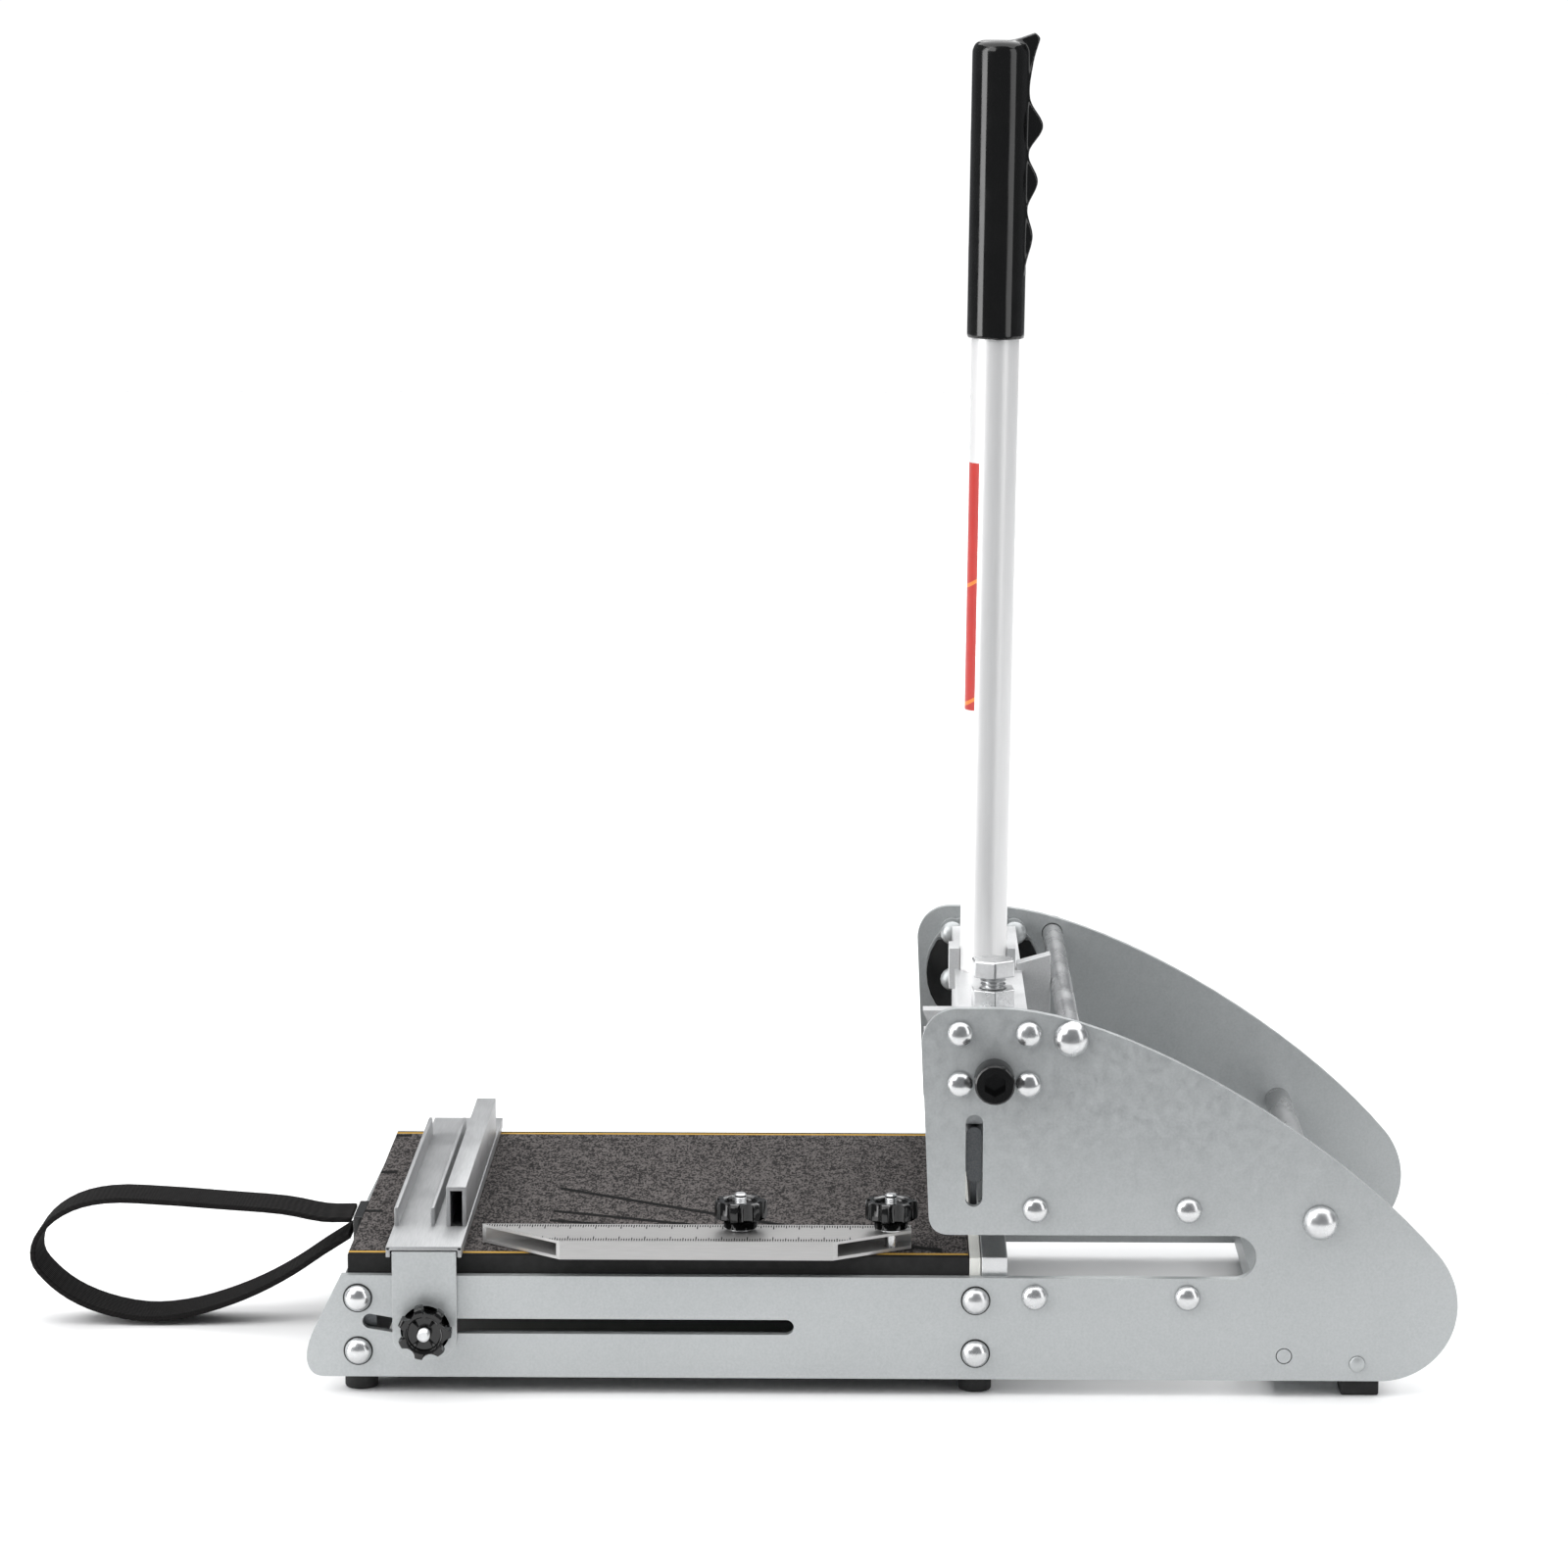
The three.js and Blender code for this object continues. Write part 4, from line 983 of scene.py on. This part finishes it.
def fence_profile():
    """The sliding fence: a lipped base, two low fins and a hollow ridge open at both ends."""
    low, high = corners("fence")
    wall = FENCE_WALL
    top = high.z - FENCE_RIDGE_HEIGHT
    base = top - wall
    half = high.y - FENCE_RIDGE_INSET
    stud = middle("fence_stud_near").x
    ridge = bar((high.x - RIDGE_FRONT, -half, base + 0.2), (high.x - RIDGE_REAR, half, high.z), 0.3)
    hollow_low = (high.x - RIDGE_FRONT + wall, -high.y, top)
    hollow_high = (high.x - RIDGE_REAR - wall, high.y, high.z - wall)
    carve(ridge, bar(hollow_low, hollow_high, 0))
    fins = [
        bar((x, -half, base + 0.2), (x + wall, half, top + FENCE_FIN), 0.4, 3)
        for x in (low.x + 0.4, stud - 0.8)
    ]
    lips = [
        bar((x, low.y, low.z), (x + wall, high.y, top - 0.3), 0.2)
        for x in (low.x, high.x - wall)
    ]
    piece = join(bar((low.x, low.y, base), (high.x, high.y, top), 0.25), ridge, *fins, *lips)
    smooth(piece)
    return piece


def fence_and_gauge():
    place(fence_profile(), "fence_extrusion", satin_alloy, "fence", "fence", slot="alloy")
    for side, _ in SIDES:
        node = f"fence_bracket_{side}"
        # The softened edges take the lighter steel: the bare steel of the bent edge, made brighter as a
        # painted highlight along the edges.
        piece = copied(node, 0.3, edge_material=1)
        place(piece, node + "_bent", [plate_metal, bare_steel_and_edge_highlight], "fence", node, slot="plate_grey")
    piece = copied("angle_gauge", 0.2)
    place(piece, "angle_gauge_extrusion", gauge_metal, "gauge", "angle_gauge", slot="alloy")


# ---------------------------------------------------------------- feet and strap
def feet():
    for place_name in ("front", "mid"):
        for side, _ in SIDES:
            node = f"foot_{place_name}_{side}"
            low, high = corners(node)
            at = middle(node)
            profile = [(5.4, low.z), (6.2, low.z + 0.3), (6.5, low.z + 1), (6.5, high.z - 0.6), (6.1, high.z)]
            piece = turned(profile, "Z", (at.x, at.y, 0))
            smooth(piece, 50)
            place(piece, node + "_moulded", foot_rubber, "frame", node, slot="foot_rubber")
    for side, _ in SIDES:
        node = f"foot_rear_{side}"
        piece = copied(node, 1.0, segments=4)
        place(piece, node + "_moulded", foot_rubber, "frame", node, slot="foot_rubber")


def strap():
    piece = copied("strap", 0.6, segments=3, angle=50, smooth_angle=60)
    place(piece, "strap_woven", strap_webbing, "frame", "strap", slot="webbing")
    piece = copied("strap_anchor", 0.6, segments=3)
    place(piece, "strap_anchor_clip", gloss_black, "frame", "strap_anchor", slot="black_steel")


side_plates()
cross_bars()
board_and_anvil()
corner_bolts()
tie_rods()
jaw_bars()
throat_strips()
bearings()
blade_set()
coil("return_spring_near_wound", "return_spring_near")
coil("return_spring_far_wound", "return_spring_far")
tube()
grip()
hub()
set_screws()
shaft_screws()
fence_and_gauge()
knobs()
studs()
gauge_bolts()
feet()
strap()


# ---------------------------------------------------------------- studio
def floor():
    finish = Finish("pale_floor", 0.8, 0.0, Specular_IOR_Level=0.2)
    cloud = finish.noise(400, 3)
    finish.colour(finish.mix(cloud, (0.88, 0.88, 0.88, 1), (0.91, 0.91, 0.91, 1)))
    deselect()
    bpy.ops.mesh.primitive_plane_add(size=5.0, location=(0, 2.08, 0))
    sheet = bpy.context.object
    sheet.name = "pale_floor"
    sheet.data.materials.append(finish.material)


def soft_light(name, at, aim, width, height, power):
    light = bpy.data.lights.new(name, "AREA")
    light.shape = "RECTANGLE"
    light.size = width
    light.size_y = height
    light.energy = power
    lamp = bpy.data.objects.new(name, light)
    bpy.context.collection.objects.link(lamp)
    lamp.location = at
    lamp.rotation_euler = (Vector(aim) - Vector(at)).to_track_quat("-Z", "Y").to_euler()


def studio():
    """White surroundings behind the object, dim ones in its reflections, and soft boxes round it."""
    world = bpy.data.worlds.new("studio")
    world.use_nodes = True
    nodes = world.node_tree.nodes
    links = world.node_tree.links
    dim = nodes["Background"]
    dim.inputs["Color"].default_value = (0.93, 0.96, 1.0, 1)
    dim.inputs["Strength"].default_value = 0.22
    white = nodes.new("ShaderNodeBackground")
    white.inputs["Color"].default_value = (1, 1, 1, 1)
    white.inputs["Strength"].default_value = 1.05
    ray = nodes.new("ShaderNodeLightPath")
    either = nodes.new("ShaderNodeMixShader")
    links.new(ray.outputs["Is Camera Ray"], either.inputs[0])
    links.new(dim.outputs[0], either.inputs[1])
    links.new(white.outputs[0], either.inputs[2])
    links.new(either.outputs[0], nodes["World Output"].inputs["Surface"])
    bpy.context.scene.world = world
    bpy.context.scene.view_settings.view_transform = "Standard"
    soft_light("key_light", (-1.9, -2.3, 2.3), (0, 0, 0.15), 1.6, 1.6, 23)
    soft_light("left_strip", (-2.2, -1.0, 0.9), (0, 0, 0.25), 1.0, 2.4, 44)
    soft_light("right_strip", (2.3, -1.7, 1.0), (0, 0, 0.25), 1.0, 2.4, 15)
    soft_light("top_light", (0, 1.6, 4.2), (0, 1.6, 0), 9, 9, 500)
    soft_light("back_light", (0.6, 2.6, 1.8), (0, 0, 0.1), 2.0, 1.0, 12)


CAMERA_LENS = 116.5
CAMERA_PLACE = (-3.5, -2032.2, 554.3)  # x from the plates' middle, y and z, in millimetres
CAMERA_ASIDE = radians(1.02)
CAMERA_DOWN = radians(9.21)


def camera():
    lens = bpy.data.cameras.new("camera")
    lens.lens = CAMERA_LENS
    lens.sensor_width = 36
    lens.clip_end = 60
    view = bpy.data.objects.new("camera", lens)
    bpy.context.collection.objects.link(view)
    plates_middle = (infeed_x + rear_x) / 2
    view.location = (Vector((plates_middle, 0, 0)) + Vector(CAMERA_PLACE)) * MM
    level = cos(CAMERA_DOWN)
    forward = Vector((-sin(CAMERA_ASIDE) * level, cos(CAMERA_ASIDE) * level, -sin(CAMERA_DOWN)))
    view.rotation_euler = forward.to_track_quat("-Z", "Y").to_euler()
    bpy.context.scene.camera = view


floor()
studio()
camera()

deselect()
